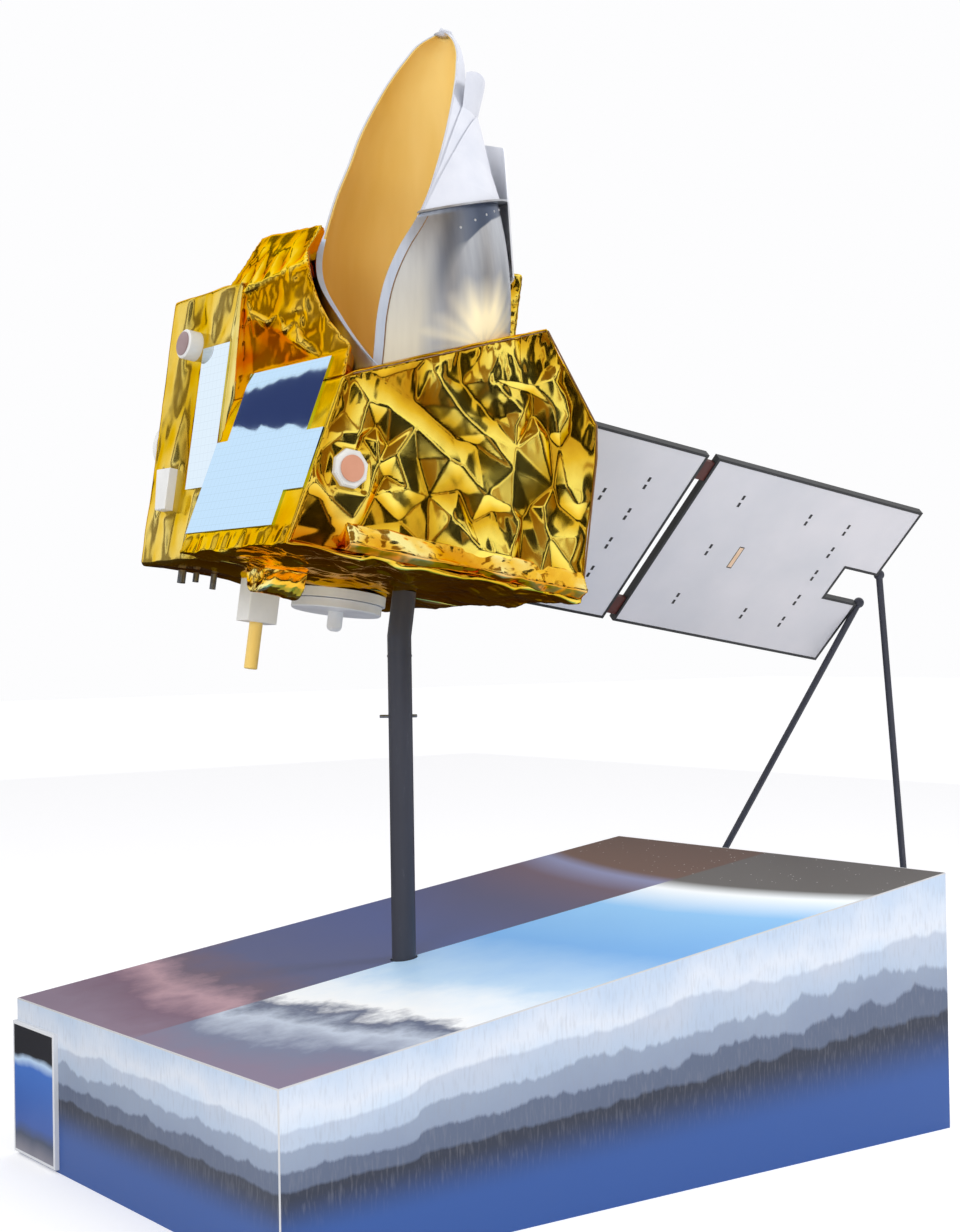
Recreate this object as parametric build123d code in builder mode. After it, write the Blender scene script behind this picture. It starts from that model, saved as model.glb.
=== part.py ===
from build123d import *
import os
from math import cos, hypot, radians, sin

# A full-size exhibition model of a small earth-observation satellite on a printed wedge
# plinth. Millimetres, +Z up, X along the plinth's length towards its high end. The origin
# is the middle of the plinth's base, on the floor.

os.makedirs("parts", exist_ok=True)

# Plinth: a wedge in two halves that meet along the length
plinth_length = 2000
plinth_width = 1320
plinth_low = 392.5
plinth_high = 661
plinth_corner = 2
board_width = 250
board_low = 8
board_height = 330
board_thickness = 12
board_bevel = 1

# Post: one painted tube with a mitred bend, and a cross pin
post_x = -252
post_y = 5
post_diameter = 60.3
post_wall = 3.6
post_clearance = 0.3
post_hole_gap = 4
plinth_board = 18
bend_height = 1297
lean = 9
pin_below_bend = 200
pin_diameter = 8
pin_left = 52
pin_right = 42
pin_turn = -36
pin_bevel = 1
collar_below_bend = 47
collar_height = 5
collar_wall = 0.9

# Gaps between pieces that sit against each other
seat = 0.3

# Body, in the satellite's own frame: a along the wing, b to the back, c up the post
body_bottom = 113
body_right = 245
body_front = -410
body_middle = 100
body_back = 455
rear_left = -510
rear_top = 800
block_foot = -582
block_shoulder_a = -492
block_shoulder_c = 505
deck_low_a = -464
deck_low_c = 526
deck_high_a = 52
deck_high_c = 747
corner_cut_a = 234
corner_cut_c = 549
corner_cut_foot = 469
blanket_radius = 9

# Folded blanket along the lower front edge
fold_height = 76
fold_depth = 26
fold_nose_c = 138
fold_nose_radius = 6
fold_left = -440

# Instrument housing beside and behind the baffle
housing_front = -400
housing_front_c = 560
housing_ridge_front = -200
housing_ridge_front_c = 907
housing_ridge_back = 108
housing_ridge_back_c = 940
housing_back = 190
housing_back_shoulder = 157
housing_end = 60
housing_brow_a = -502
housing_brow_c = 786
housing_crown_a = -440
housing_crown_drop = 4
housing_foot_c = 578
drum_room = 7
housing_cut_foot = (-118, 585)
housing_cut_middle = (-206, 700)
housing_cut_head = (-262, 850)
housing_cut_top = -224

# Foil box behind the baffle's right side
tower_left = 130
tower_right = 232
tower_front = -30
tower_back = 88
tower_top = 985

# Baffle: drum, liner, skin and the sheets above its flange
baffle_a = -158
baffle_b = -152
baffle_side = 36
sheet = 4
liner_sheet = 4
flange_a = -281
flange_c = 955
flange_slope = 22.5
flange_thickness = 5
flange_shift = 14
flange_reach = 18
lip_foot = 500
petal_gap = 4.5
cone_gap = 9.2
flare_c = 1285
shield_turn_start = -34
shield_turn_end = 60
shield_room = 6
shield_edge_room = 106
tip_thickness = 4
tip_cone_radius = 6
tip_cone_height = 9
tip_cone_shift = -10.5
tip_cone_taper = 20
cutter_reach = 600

# Radiator mirrors, on the leaning block and on the rear body's end
mirror_thickness = 4
side_mirror_near = 112
side_mirror_far = 250
side_mirror_low = 293
side_mirror_high = 650

# Patch antennas
antenna_ring_across = 84
antenna_ring_depth = 14
antenna_ring_bevel = 4
antenna_disc_diameter = 60
antenna_disc_depth = 3
antenna_front_a = -452
antenna_front_c = 304
antenna_side_b = 297
antenna_side_c = 662
antenna_side_diameter = 74
antenna_side_length = 38
antenna_side_bevel = 3

# White covers on the rear body's end and back
cover_near = 312
cover_low = 245
cover_high = 350
cover_top_width = 70
cover_foot_width = 52
cover_depth = 24
cover_bevel = 2
back_cover_a = -428
back_cover_c = 430
back_cover_radius = 80
back_cover_depth = 34

# Pieces under the satellite
block_a = -252
block_b = 345
block_length = 28
block_width = 30
block_drop = 36
rod_a = -252
rod_b = 282
rod_block_length = 86
rod_block_width = 62
rod_block_radius = 4
rod_block_drop = 112
rod_diameter = 34
rod_drop = 119
pouch_left = -400
pouch_length = 122
pouch_near = 8
pouch_width = 86
pouch_drop = 64
plate_a = -25
plate_b = 275
plate_radius = 126
plate_drop = 25
neck_radius = 104
neck_drop = 2
disc_radius = 118
disc_drop = 24
disc_bevel = 3
boss_radius = 20
boss_drop = 50
boss_round = 14

# Solar wing
wing_c = 400
wing_tilt = 49
wing_chord_low = -277
wing_chord_high = 303
panel_thickness = 20
cell_thickness = 2
inner_start = 300
inner_end = 807
outer_start = 843
outer_end = 1665
notch_start = 1527
notch_low = -35
notch_high = 75
rail_width = 8
frame_proud = 1
shaft_diameter = 50
hinge_inset = 20
hinge_width = 60
hinge_thickness = 14
root_depth = 26
root_length = 240

# Struts from the wing's notch to the floor behind the plinth
strut_diameter = 20
front_foot_x = 1716
front_foot_y = 82
rear_foot_x = 1082
rear_foot_y = 759
foot_diameter = 90
foot_thickness = 6
strut_end_diameter = 32


def body_point(a, b, c):
    """The place of a point of the satellite's frame."""
    return body_plane.from_local_coords(Vector(a, b, c))


def level(c):
    """A plane square to the post's upper end; its sketch axes are a and b."""
    return body_plane.offset(c)


def side_plane(b):
    """A plane that faces the front; its sketch axes are a and c."""
    return Plane(origin=body_point(0, b, 0), x_dir=body_plane.x_dir, z_dir=-body_plane.y_dir)


def end_plane(a):
    """A plane that faces the wing; its sketch axes are b and c."""
    return Plane(origin=body_point(a, 0, 0), x_dir=body_plane.y_dir, z_dir=body_plane.x_dir)


def save(piece, name):
    piece.part.label = name
    export_step(piece.part, "parts/" + name + ".step")


body_plane = Plane(
    origin=(post_x, post_y, bend_height),
    x_dir=(cos(radians(lean)), 0, -sin(radians(lean))),
    z_dir=(sin(radians(lean)), 0, cos(radians(lean))),
)

# Plinth halves, with a stepped hole for the post through both
plinth_slope = (plinth_high - plinth_low) / plinth_length
plinth_side = [
    (-plinth_length / 2, 0),
    (plinth_length / 2, 0),
    (plinth_length / 2, plinth_high),
    (-plinth_length / 2, plinth_low),
]
post_exit = plinth_low + plinth_slope * (plinth_length / 2 + post_x)
socket_radius = post_diameter / 2 + post_clearance
hole_radius = post_diameter / 2 + post_hole_gap

for half_name, near_edge in (("plinth_front_half", -plinth_width / 2), ("plinth_rear_half", 0)):
    with BuildPart() as plinth_half:
        with BuildSketch(Plane.XZ.offset(-near_edge)):
            with BuildLine():
                Polyline(*plinth_side, close=True)
            make_face()
        extrude(amount=-plinth_width / 2)
        upright = plinth_half.edges().filter_by(Axis.Z)
        outer = upright.sort_by(Axis.Y)[:2] if near_edge < 0 else upright.sort_by(Axis.Y)[-2:]
        chamfer(outer, plinth_corner)
        with BuildSketch(Plane.XY):
            with Locations((post_x, post_y)):
                Circle(socket_radius)
        extrude(amount=plinth_high, mode=Mode.SUBTRACT)
        with BuildSketch(Plane.XY.offset(post_exit - plinth_board)):
            with Locations((post_x, post_y)):
                Circle(hole_radius)
        extrude(amount=plinth_high, mode=Mode.SUBTRACT)
    save(plinth_half, half_name)

# Notice board that stands against the low end, at its rear corner
with BuildPart() as notice_board:
    with BuildSketch(Plane.YZ.offset(-plinth_length / 2)):
        with Locations((plinth_width / 2 - board_width / 2, board_low + board_height / 2)):
            Rectangle(board_width, board_height)
    extrude(amount=-board_thickness)
    chamfer(notice_board.faces().sort_by(Axis.X)[0].edges(), board_bevel)
save(notice_board, "notice_board")

# Post: a tube up to the mitre, then square to the satellite's underside
post_path_top = body_point(0, 0, body_bottom)
with BuildPart() as post:
    with BuildLine() as post_path:
        Polyline((post_x, post_y, 0), (post_x, post_y, bend_height), post_path_top)
    with BuildSketch(Plane.XY):
        with Locations((post_x, post_y)):
            Circle(post_diameter / 2)
            Circle(post_diameter / 2 - post_wall, mode=Mode.SUBTRACT)
    sweep(path=post_path.wires()[0], transition=Transition.RIGHT)
    pin_plane = Plane(
        origin=(post_x, post_y, bend_height - pin_below_bend),
        x_dir=(0, 0, 1),
        z_dir=(cos(radians(pin_turn)), sin(radians(pin_turn)), 0),
    )
    with BuildSketch(pin_plane):
        Circle(pin_diameter / 2 + seat)
    extrude(amount=post_diameter, both=True, mode=Mode.SUBTRACT)
save(post, "post")

# Thin collar at the post's seam
with BuildPart() as post_collar:
    with BuildSketch(Plane.XY.offset(bend_height - collar_below_bend)):
        with Locations((post_x, post_y)):
            Circle(post_diameter / 2 + seat + collar_wall)
            Circle(post_diameter / 2 + seat, mode=Mode.SUBTRACT)
    extrude(amount=-collar_height)
save(post_collar, "post_collar")

# Cross pin, longer on its left
with BuildPart() as post_pin:
    with BuildSketch(pin_plane.offset(-pin_left)):
        Circle(pin_diameter / 2)
    extrude(amount=pin_left + pin_right)
    chamfer(post_pin.faces().filter_by(GeomType.PLANE).edges(), pin_bevel)
save(post_pin, "post_pin")

# Front body: a leaning block on the left, a sloping deck, and a cut upper right corner
front_profile = [
    (block_foot, body_bottom),
    (body_right, body_bottom),
    (body_right, corner_cut_foot),
    (corner_cut_a, corner_cut_c),
    (deck_high_a, deck_high_c),
    (deck_low_a, deck_low_c),
    (block_shoulder_a, block_shoulder_c),
]
with BuildPart() as front_body:
    with BuildSketch(side_plane(body_front)):
        with BuildLine():
            Polyline(*front_profile, close=True)
        make_face()
    extrude(amount=-(body_middle - body_front))
    front_face = front_body.faces().sort_by(Axis.Y)[0]
    fillet(front_face.edges(), blanket_radius)
save(front_body, "front_body")

# Rear body: the plain service module behind
with BuildPart() as rear_body:
    with BuildSketch(side_plane(body_middle)):
        with BuildLine():
            Polyline(
                (rear_left, body_bottom),
                (body_right, body_bottom),
                (body_right, rear_top),
                (rear_left, rear_top),
                close=True,
            )
        make_face()
    extrude(amount=-(body_back - body_middle))
    back_face = rear_body.faces().sort_by(Axis.Y)[-1]
    fillet(back_face.edges(), blanket_radius)
save(rear_body, "rear_body")

# Blanket folded outwards along the lower front edge
with BuildPart() as lower_fold:
    with BuildSketch(end_plane(fold_left)):
        with BuildLine():
            Polyline(
                (body_front, body_bottom + blanket_radius),
                (body_front - fold_depth, fold_nose_c),
                (body_front, body_bottom + fold_height),
                close=True,
            )
        make_face()
    extrude(amount=body_right - blanket_radius - fold_left)
    nose_edge = lower_fold.edges().filter_by(Axis(body_plane.origin, body_plane.x_dir)).sort_by(Axis.Y)[0]
    fillet(nose_edge, fold_nose_radius)
save(lower_fold, "lower_fold")


def deck_height(a):
    """Height of the sloping deck at a place along it."""
    return deck_low_c + (a - deck_low_a) * (deck_high_c - deck_low_c) / (deck_high_a - deck_low_a)


# The baffle's rings from the deck up: height, how far the centre has moved towards the
# front right, outer radius
scoop_rings = [
    (520, 0, 239),
    (760, -7, 238),
    (870, -17, 235),
    (960, -26, 224),
    (1050, -34, 204),
    (1130, -42, 177),
    (1210, -47, 154),
    (1285, -47, 127),
    (1350, -44, 100),
    (1405, -32, 77),
    (1450, -22, 50),
    (1479, -11, 17),
]
side_a = cos(radians(baffle_side))
side_b = -sin(radians(baffle_side))


def ring_centre(shift):
    """Where a ring's centre stands, moved sideways from the baffle's axis."""
    return (baffle_a + shift * side_a, baffle_b + shift * side_b)


# Two upright planes through the baffle's axis: one faces the front left, with sketch axes
# across and up, and one is square to it, with sketch axes in depth and up
across_plane = Plane(
    origin=body_point(baffle_a, baffle_b, 0),
    x_dir=body_plane.x_dir * side_a + body_plane.y_dir * side_b,
    z_dir=body_plane.x_dir * side_b - body_plane.y_dir * side_a,
)
depth_plane = Plane(
    origin=across_plane.origin,
    x_dir=-across_plane.z_dir,
    z_dir=across_plane.x_dir,
)

# Cutter for the baffle's open side: what is left of the near lip, seen from the front left,
# and in front of the far lip, seen from beside it
near_lip = [
    (-72, 560),
    (-75, 699),
    (-43, 862),
    (6, 1002),
    (28, 1182),
    (33, 1300),
    (26, 1430),
    (-9, 1474),
]
far_lip = [(-236, 560), (-171, 698), (-52, 835), (18, 950), (38, 1200), (21, 1397), (-4, 1490)]
with BuildPart() as opening_cutter:
    with BuildSketch(across_plane):
        with BuildLine():
            Spline(*near_lip, tangents=((0, 1), (-1, 0)))
            Polyline(
                near_lip[-1],
                (-cutter_reach, near_lip[-1][1]),
                (-cutter_reach, lip_foot),
                (near_lip[0][0], lip_foot),
                near_lip[0],
            )
        make_face()
    extrude(amount=cutter_reach, both=True)
    with BuildSketch(depth_plane):
        with BuildLine():
            Spline(*far_lip)
            Polyline(
                far_lip[-1],
                (-cutter_reach, far_lip[-1][1]),
                (-cutter_reach, lip_foot),
                (far_lip[0][0], lip_foot),
                far_lip[0],
            )
        make_face()
    extrude(amount=cutter_reach, both=True, mode=Mode.INTERSECT)

flange_plane = Plane(
    origin=body_point(flange_a, 0, flange_c),
    x_dir=body_plane.y_dir,
    z_dir=body_plane.z_dir * cos(radians(flange_slope)) - body_plane.x_dir * sin(radians(flange_slope)),
)
deck_plane = Plane(
    origin=body_point(deck_low_a, 0, deck_low_c),
    x_dir=body_plane.y_dir,
    z_dir=(body_point(0, 0, 1) - body_point(0, 0, 0)) * (deck_high_a - deck_low_a)
    - (body_point(1, 0, 0) - body_point(0, 0, 0)) * (deck_high_c - deck_low_c),
)

# Drum: the silver outer wall, from the deck up to the flange
with BuildPart() as baffle_drum:
    for height, shift, radius in scoop_rings:
        with BuildSketch(level(height)):
            with Locations(ring_centre(shift)):
                Circle(radius)
    loft(ruled=True)
    for height, shift, radius in scoop_rings:
        with BuildSketch(level(height)):
            with Locations(ring_centre(shift)):
                Circle(radius - sheet)
    loft(ruled=True, mode=Mode.SUBTRACT)
    split(bisect_by=deck_plane, keep=Keep.TOP)
    split(bisect_by=flange_plane, keep=Keep.BOTTOM)
    add(opening_cutter.part, mode=Mode.SUBTRACT)
save(baffle_drum, "baffle_drum")

# Liner: the gold sheet inside, from the deck up to the tip
liner_gap = sheet + seat
with BuildPart() as baffle_liner:
    for height, shift, radius in scoop_rings:
        with BuildSketch(level(height)):
            with Locations(ring_centre(shift)):
                Circle(radius - liner_gap)
    loft(ruled=True)
    for height, shift, radius in scoop_rings:
        with BuildSketch(level(height)):
            with Locations(ring_centre(shift)):
                Circle(radius - liner_gap - liner_sheet)
    loft(ruled=True, mode=Mode.SUBTRACT)
    split(bisect_by=deck_plane, keep=Keep.TOP)
    add(opening_cutter.part, mode=Mode.SUBTRACT)
save(baffle_liner, "baffle_liner")

# Skin: the white outer wall of the scoop, above the flange
with BuildPart() as baffle_skin:
    for height, shift, radius in scoop_rings:
        with BuildSketch(level(height)):
            with Locations(ring_centre(shift)):
                Circle(radius)
    loft(ruled=True)
    for height, shift, radius in scoop_rings:
        with BuildSketch(level(height)):
            with Locations(ring_centre(shift)):
                Circle(radius - sheet)
    loft(ruled=True, mode=Mode.SUBTRACT)
    split(bisect_by=flange_plane.offset(flange_thickness), keep=Keep.TOP)
    add(opening_cutter.part, mode=Mode.SUBTRACT)
save(baffle_skin, "baffle_skin")

# Flange: a rim that follows the drum's upper edge and stands out from it, up to the shield
shield_rings = [(885, -24, 251), (1290, -44, 198)]
with BuildPart() as baffle_flange:
    for height, shift, radius in scoop_rings:
        with BuildSketch(level(height)):
            with Locations(ring_centre(shift + flange_shift)):
                Circle(radius + flange_reach)
    loft(ruled=True)
    for height, shift, radius in shield_rings:
        with BuildSketch(level(height)):
            with Locations(ring_centre(shift)):
                Circle(radius - sheet - seat)
    loft(ruled=True, mode=Mode.INTERSECT)
    for height, shift, radius in scoop_rings:
        with BuildSketch(level(height)):
            with Locations(ring_centre(shift)):
                Circle(radius - sheet)
    loft(ruled=True, mode=Mode.SUBTRACT)
    split(bisect_by=flange_plane, keep=Keep.TOP)
    split(bisect_by=flange_plane.offset(flange_thickness), keep=Keep.BOTTOM)
    add(opening_cutter.part, mode=Mode.SUBTRACT)
save(baffle_flange, "baffle_flange")

# Sheets that stand on the flange and lie over the skin like scales: the petal, which flares
# at its top, and the cone over it. Rings: height, shift, outer radius. Outlines: across, up.
lower_rings = [ring for ring in scoop_rings if ring[0] <= flare_c]
petal_rings = [(height, shift, radius + petal_gap) for height, shift, radius in lower_rings[:-1]]
petal_rings += [(1264, -47, 139), (1350, -42, 143), (1400, -40, 142)]
cone_rings = [(height, shift, radius + cone_gap) for height, shift, radius in lower_rings]
petal_outline = [
    (-6, 925),
    (28, 1087),
    (57, 1268),
    (57, 1347),
    (68, 1355),
    (80, 1361),
    (91, 1364),
    (125, 1364),
    (120, 1270),
    (19, 925),
]
cone_outline = [(-6, 925), (93, 1264), (260, 1264), (260, 925)]

for sheet_name, rings, outline in (
    ("baffle_cone", cone_rings, cone_outline),
    ("baffle_petal", petal_rings, petal_outline),
):
    with BuildPart() as baffle_sheet:
        for height, shift, radius in rings:
            with BuildSketch(level(height)):
                with Locations(ring_centre(shift)):
                    Circle(radius)
        loft(ruled=True)
        for height, shift, radius in rings:
            with BuildSketch(level(height)):
                with Locations(ring_centre(shift)):
                    Circle(radius - sheet)
        loft(ruled=True, mode=Mode.SUBTRACT)
        with BuildSketch(across_plane):
            with BuildLine():
                Polyline(*outline, close=True)
            make_face()
        extrude(amount=cutter_reach, both=True, mode=Mode.INTERSECT)
        split(bisect_by=flange_plane.offset(flange_thickness), keep=Keep.TOP)
    save(baffle_sheet, sheet_name)

# Rear shield: a curved sheet round the flange's far edge, notched over the housing. Its upper
# edge rises towards the back, with a rounded front corner: depth, up.
shield_edge = [(-20, 1150), (6, 1185), (9, 1198), (16, 1207), (30, 1216), (143, 1258), (240, 1294)]
with BuildPart() as baffle_shield:
    for height, shift, radius in shield_rings:
        with BuildSketch(level(height)):
            with Locations(ring_centre(shift)):
                Circle(radius)
    loft(ruled=True)
    for height, shift, radius in shield_rings:
        with BuildSketch(level(height)):
            with Locations(ring_centre(shift)):
                Circle(radius - sheet)
    loft(ruled=True, mode=Mode.SUBTRACT)
    shield_turns = (shield_turn_start, (shield_turn_start + shield_turn_end) / 2, shield_turn_end)
    sector = [
        (baffle_a + cutter_reach * cos(radians(turn)), baffle_b + cutter_reach * sin(radians(turn)))
        for turn in shield_turns
    ]
    with BuildSketch(level(shield_rings[0][0])):
        with BuildLine():
            Polyline((baffle_a, baffle_b), *sector, close=True)
        make_face()
    extrude(amount=cutter_reach, mode=Mode.INTERSECT)
    with BuildSketch(level(housing_ridge_back_c + shield_room)):
        with Locations((housing_end + shield_room, baffle_b)):
            Rectangle(cutter_reach, cutter_reach, align=(Align.MAX, Align.MIN))
    extrude(amount=-cutter_reach, mode=Mode.SUBTRACT)
    with BuildSketch(depth_plane):
        with BuildLine():
            Polyline(
                *shield_edge,
                (shield_edge[-1][0], shield_edge[-1][1] + shield_edge_room),
                (shield_edge[0][0], shield_edge[-1][1] + shield_edge_room),
                close=True,
            )
        make_face()
    extrude(amount=cutter_reach, both=True, mode=Mode.SUBTRACT)
save(baffle_shield, "baffle_shield")

# Small cap at the scoop's tip
tip_height, tip_shift, tip_radius = scoop_rings[-1]
with BuildPart() as baffle_tip:
    with BuildSketch(level(tip_height)):
        with Locations(ring_centre(tip_shift)):
            Circle(tip_radius)
    extrude(amount=tip_thickness)
    with BuildSketch(level(tip_height + tip_thickness)):
        with Locations(ring_centre(tip_shift + tip_cone_shift)):
            Circle(tip_cone_radius)
    extrude(amount=tip_cone_height, taper=tip_cone_taper)
save(baffle_tip, "baffle_tip")

# Instrument housing: a gabled blanket box that wraps the drum's left and back
housing_gable = [
    (housing_front, block_shoulder_c),
    (housing_front, housing_front_c),
    (housing_ridge_front, housing_ridge_front_c),
    (housing_ridge_back, housing_ridge_back_c),
    (housing_back_shoulder, housing_ridge_back_c - housing_crown_drop),
    (housing_back, rear_top),
    (body_middle, rear_top),
    (body_middle, block_shoulder_c),
]
block_slope = (block_shoulder_a - block_foot) / (block_shoulder_c - body_bottom)
housing_foot_a = block_foot + block_slope * (housing_foot_c - body_bottom)
housing_side = [
    (block_shoulder_a, block_shoulder_c),
    (housing_foot_a, housing_foot_c),
    (housing_brow_a, housing_brow_c),
    (housing_crown_a, housing_ridge_back_c),
    (housing_end, housing_ridge_back_c),
    (housing_end, deck_height(housing_end)),
    (deck_low_a, deck_low_c),
]
with BuildPart() as instrument_housing:
    with BuildSketch(end_plane(housing_brow_a)):
        with BuildLine():
            Polyline(*housing_gable, close=True)
        make_face()
    extrude(amount=housing_end - housing_brow_a)
    with BuildSketch(side_plane(housing_front)):
        with BuildLine():
            Polyline(*housing_side, close=True)
        make_face()
    extrude(amount=-(housing_back - housing_front), mode=Mode.INTERSECT)
    for height, shift, radius in scoop_rings:
        with BuildSketch(level(height)):
            with Locations(ring_centre(shift)):
                Circle(radius + drum_room)
    loft(ruled=True, mode=Mode.SUBTRACT)
    with BuildSketch(level(block_shoulder_c)):
        with Locations((baffle_a, baffle_b)):
            Rectangle(cutter_reach, cutter_reach, align=(Align.MIN, Align.MAX))
    extrude(amount=cutter_reach, mode=Mode.SUBTRACT)
    with BuildSketch(across_plane):
        with BuildLine():
            ThreePointArc(housing_cut_foot, housing_cut_middle, housing_cut_head)
            Polyline(
                housing_cut_head,
                (housing_cut_top, housing_ridge_back_c),
                (cutter_reach, housing_ridge_back_c),
                (cutter_reach, lip_foot),
                (housing_cut_foot[0], lip_foot),
                housing_cut_foot,
            )
        make_face()
    extrude(amount=cutter_reach, mode=Mode.SUBTRACT)
save(instrument_housing, "instrument_housing")

# Foil tower on the cut corner, behind the drum's right side
cut_slope = (deck_high_c - corner_cut_c) / (deck_high_a - corner_cut_a)
with BuildPart() as foil_tower:
    with BuildSketch(side_plane(tower_front)):
        with BuildLine():
            Polyline(
                (tower_left, deck_high_c + cut_slope * (tower_left - deck_high_a)),
                (tower_right, deck_high_c + cut_slope * (tower_right - deck_high_a)),
                (tower_right, tower_top),
                (tower_left, tower_top),
                close=True,
            )
        make_face()
    extrude(amount=-(tower_back - tower_front))
    top_edges = foil_tower.faces().sort_by(Axis.Z)[-1].edges()
    fillet(top_edges, blanket_radius / 2)
save(foil_tower, "foil_tower")

# Radiator mirror on the leaning block, notched as the blanket round it
block_lean = hypot(block_shoulder_a - block_foot, block_shoulder_c - body_bottom)
block_up_a = (block_shoulder_a - block_foot) / block_lean
block_up_c = (block_shoulder_c - body_bottom) / block_lean
block_plane = Plane(
    origin=body_point(block_foot, 0, body_bottom),
    x_dir=-body_plane.y_dir,
    z_dir=body_plane.z_dir * block_up_a - body_plane.x_dir * block_up_c,
)
# outline as b and c, from the lower back corner round by the front
front_mirror_outline = [
    (97, 163),
    (-313, 161),
    (-313, 243),
    (-398, 243),
    (-398, 385),
    (-326, 385),
    (-326, 565),
    (45, 567),
    (45, 394),
    (97, 394),
]
with BuildPart() as front_radiator:
    with BuildSketch(block_plane):
        with BuildLine():
            Polyline(*[(-b, (c - body_bottom) / block_up_c) for b, c in front_mirror_outline], close=True)
        make_face()
    extrude(amount=mirror_thickness)
save(front_radiator, "front_radiator")

# Radiator mirror on the rear body's end
with BuildPart() as side_radiator:
    with BuildSketch(end_plane(rear_left)):
        with Locations(((side_mirror_near + side_mirror_far) / 2, (side_mirror_low + side_mirror_high) / 2)):
            Rectangle(side_mirror_far - side_mirror_near, side_mirror_high - side_mirror_low)
    extrude(amount=-mirror_thickness)
save(side_radiator, "side_radiator")

# Patch antennas: an eight-sided holder on the front, a round one on the end
with BuildPart() as front_antenna:
    with BuildSketch(side_plane(body_front)):
        with Locations((antenna_front_a, antenna_front_c)):
            RegularPolygon(antenna_ring_across / 2, 8, major_radius=False, rotation=22.5)
    extrude(amount=antenna_ring_depth)
    chamfer(front_antenna.faces().sort_by(Axis.Y)[0].edges(), antenna_ring_bevel)
save(front_antenna, "front_antenna")

with BuildPart() as front_antenna_disc:
    with BuildSketch(side_plane(body_front - antenna_ring_depth)):
        with Locations((antenna_front_a, antenna_front_c)):
            Circle(antenna_disc_diameter / 2)
    extrude(amount=antenna_disc_depth)
save(front_antenna_disc, "front_antenna_disc")

with BuildPart() as side_antenna:
    with BuildSketch(end_plane(rear_left)):
        with Locations((antenna_side_b, antenna_side_c)):
            Circle(antenna_side_diameter / 2)
    extrude(amount=-antenna_side_length)
    chamfer(side_antenna.faces().sort_by(Axis.X)[0].edges(), antenna_side_bevel)
save(side_antenna, "side_antenna")

with BuildPart() as side_antenna_disc:
    with BuildSketch(end_plane(rear_left - antenna_side_length)):
        with Locations((antenna_side_b, antenna_side_c)):
            Circle(antenna_disc_diameter / 2)
    extrude(amount=-antenna_disc_depth)
save(side_antenna_disc, "side_antenna_disc")

# White cover on the end, wider at its top
with BuildPart() as side_cover:
    with BuildSketch(end_plane(rear_left)):
        with BuildLine():
            Polyline(
                (cover_near, cover_low),
                (cover_near + cover_foot_width, cover_low),
                (cover_near + cover_top_width, cover_high),
                (cover_near, cover_high),
                close=True,
            )
        make_face()
    extrude(amount=-cover_depth)
    chamfer(side_cover.faces().sort_by(Axis.X)[0].edges(), cover_bevel)
save(side_cover, "side_cover")

# Round white cover on the back, at the far left corner
with BuildPart() as back_cover:
    with BuildSketch(side_plane(body_back)):
        with Locations((back_cover_a, back_cover_c)):
            Circle(back_cover_radius)
    extrude(amount=-back_cover_depth)
    fillet(back_cover.faces().sort_by(Axis.Y)[-1].edges(), back_cover_depth / 2)
save(back_cover, "back_cover")

# Studs under the rear body: a, b, radius, length
studs = [
    (-417, 400, 10.5, 33),
    (-377, 400, 8, 24),
    (-347, 360, 8, 39),
]
with BuildPart() as underside_studs:
    for a, b, radius, length in studs:
        with BuildSketch(level(body_bottom)):
            with Locations((a, b)):
                Circle(radius)
        extrude(amount=-length)
save(underside_studs, "underside_studs")

# White blocks under the rear body, and the gold rod below the larger one
with BuildPart() as small_block:
    with BuildSketch(level(body_bottom)):
        with Locations((block_a, block_b)):
            Rectangle(block_length, block_width)
    extrude(amount=-block_drop)
save(small_block, "small_block")

with BuildPart() as rod_block:
    with BuildSketch(level(body_bottom)):
        with Locations((rod_a, rod_b)):
            RectangleRounded(rod_block_length, rod_block_width, rod_block_radius)
    extrude(amount=-rod_block_drop)
save(rod_block, "rod_block")

with BuildPart() as gold_rod:
    with BuildSketch(level(body_bottom - rod_block_drop)):
        with Locations((rod_a, rod_b)):
            Circle(rod_diameter / 2)
    extrude(amount=-rod_drop)
    chamfer(gold_rod.faces().sort_by(Axis.Z)[0].edges(), cover_bevel)
save(gold_rod, "gold_rod")

# Foil pouch with a round belly under the front body
with BuildPart() as foil_pouch:
    with BuildSketch(end_plane(pouch_left)):
        with BuildLine():
            belly_c = body_bottom - pouch_drop + pouch_width / 2
            pouch_far = pouch_near + pouch_width
            belly_near = (pouch_near, belly_c)
            belly_middle = (pouch_near + pouch_width / 2, body_bottom - pouch_drop)
            belly_far = (pouch_far, belly_c)
            Polyline(belly_far, (pouch_far, body_bottom), (pouch_near, body_bottom), belly_near)
            ThreePointArc(belly_near, belly_middle, belly_far)
        make_face()
    extrude(amount=pouch_length)
save(foil_pouch, "foil_pouch")

# White mounting plate, disc and boss under the rear body
neck_c = body_bottom - plate_drop
disc_c = neck_c - neck_drop
with BuildPart() as mounting_plate:
    with BuildSketch(level(body_bottom)):
        with Locations((plate_a, plate_b)):
            Circle(plate_radius)
    extrude(amount=-plate_drop)
    with BuildSketch(level(neck_c)):
        with Locations((plate_a, plate_b)):
            Circle(neck_radius)
    extrude(amount=-neck_drop)
save(mounting_plate, "mounting_plate")

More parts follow.
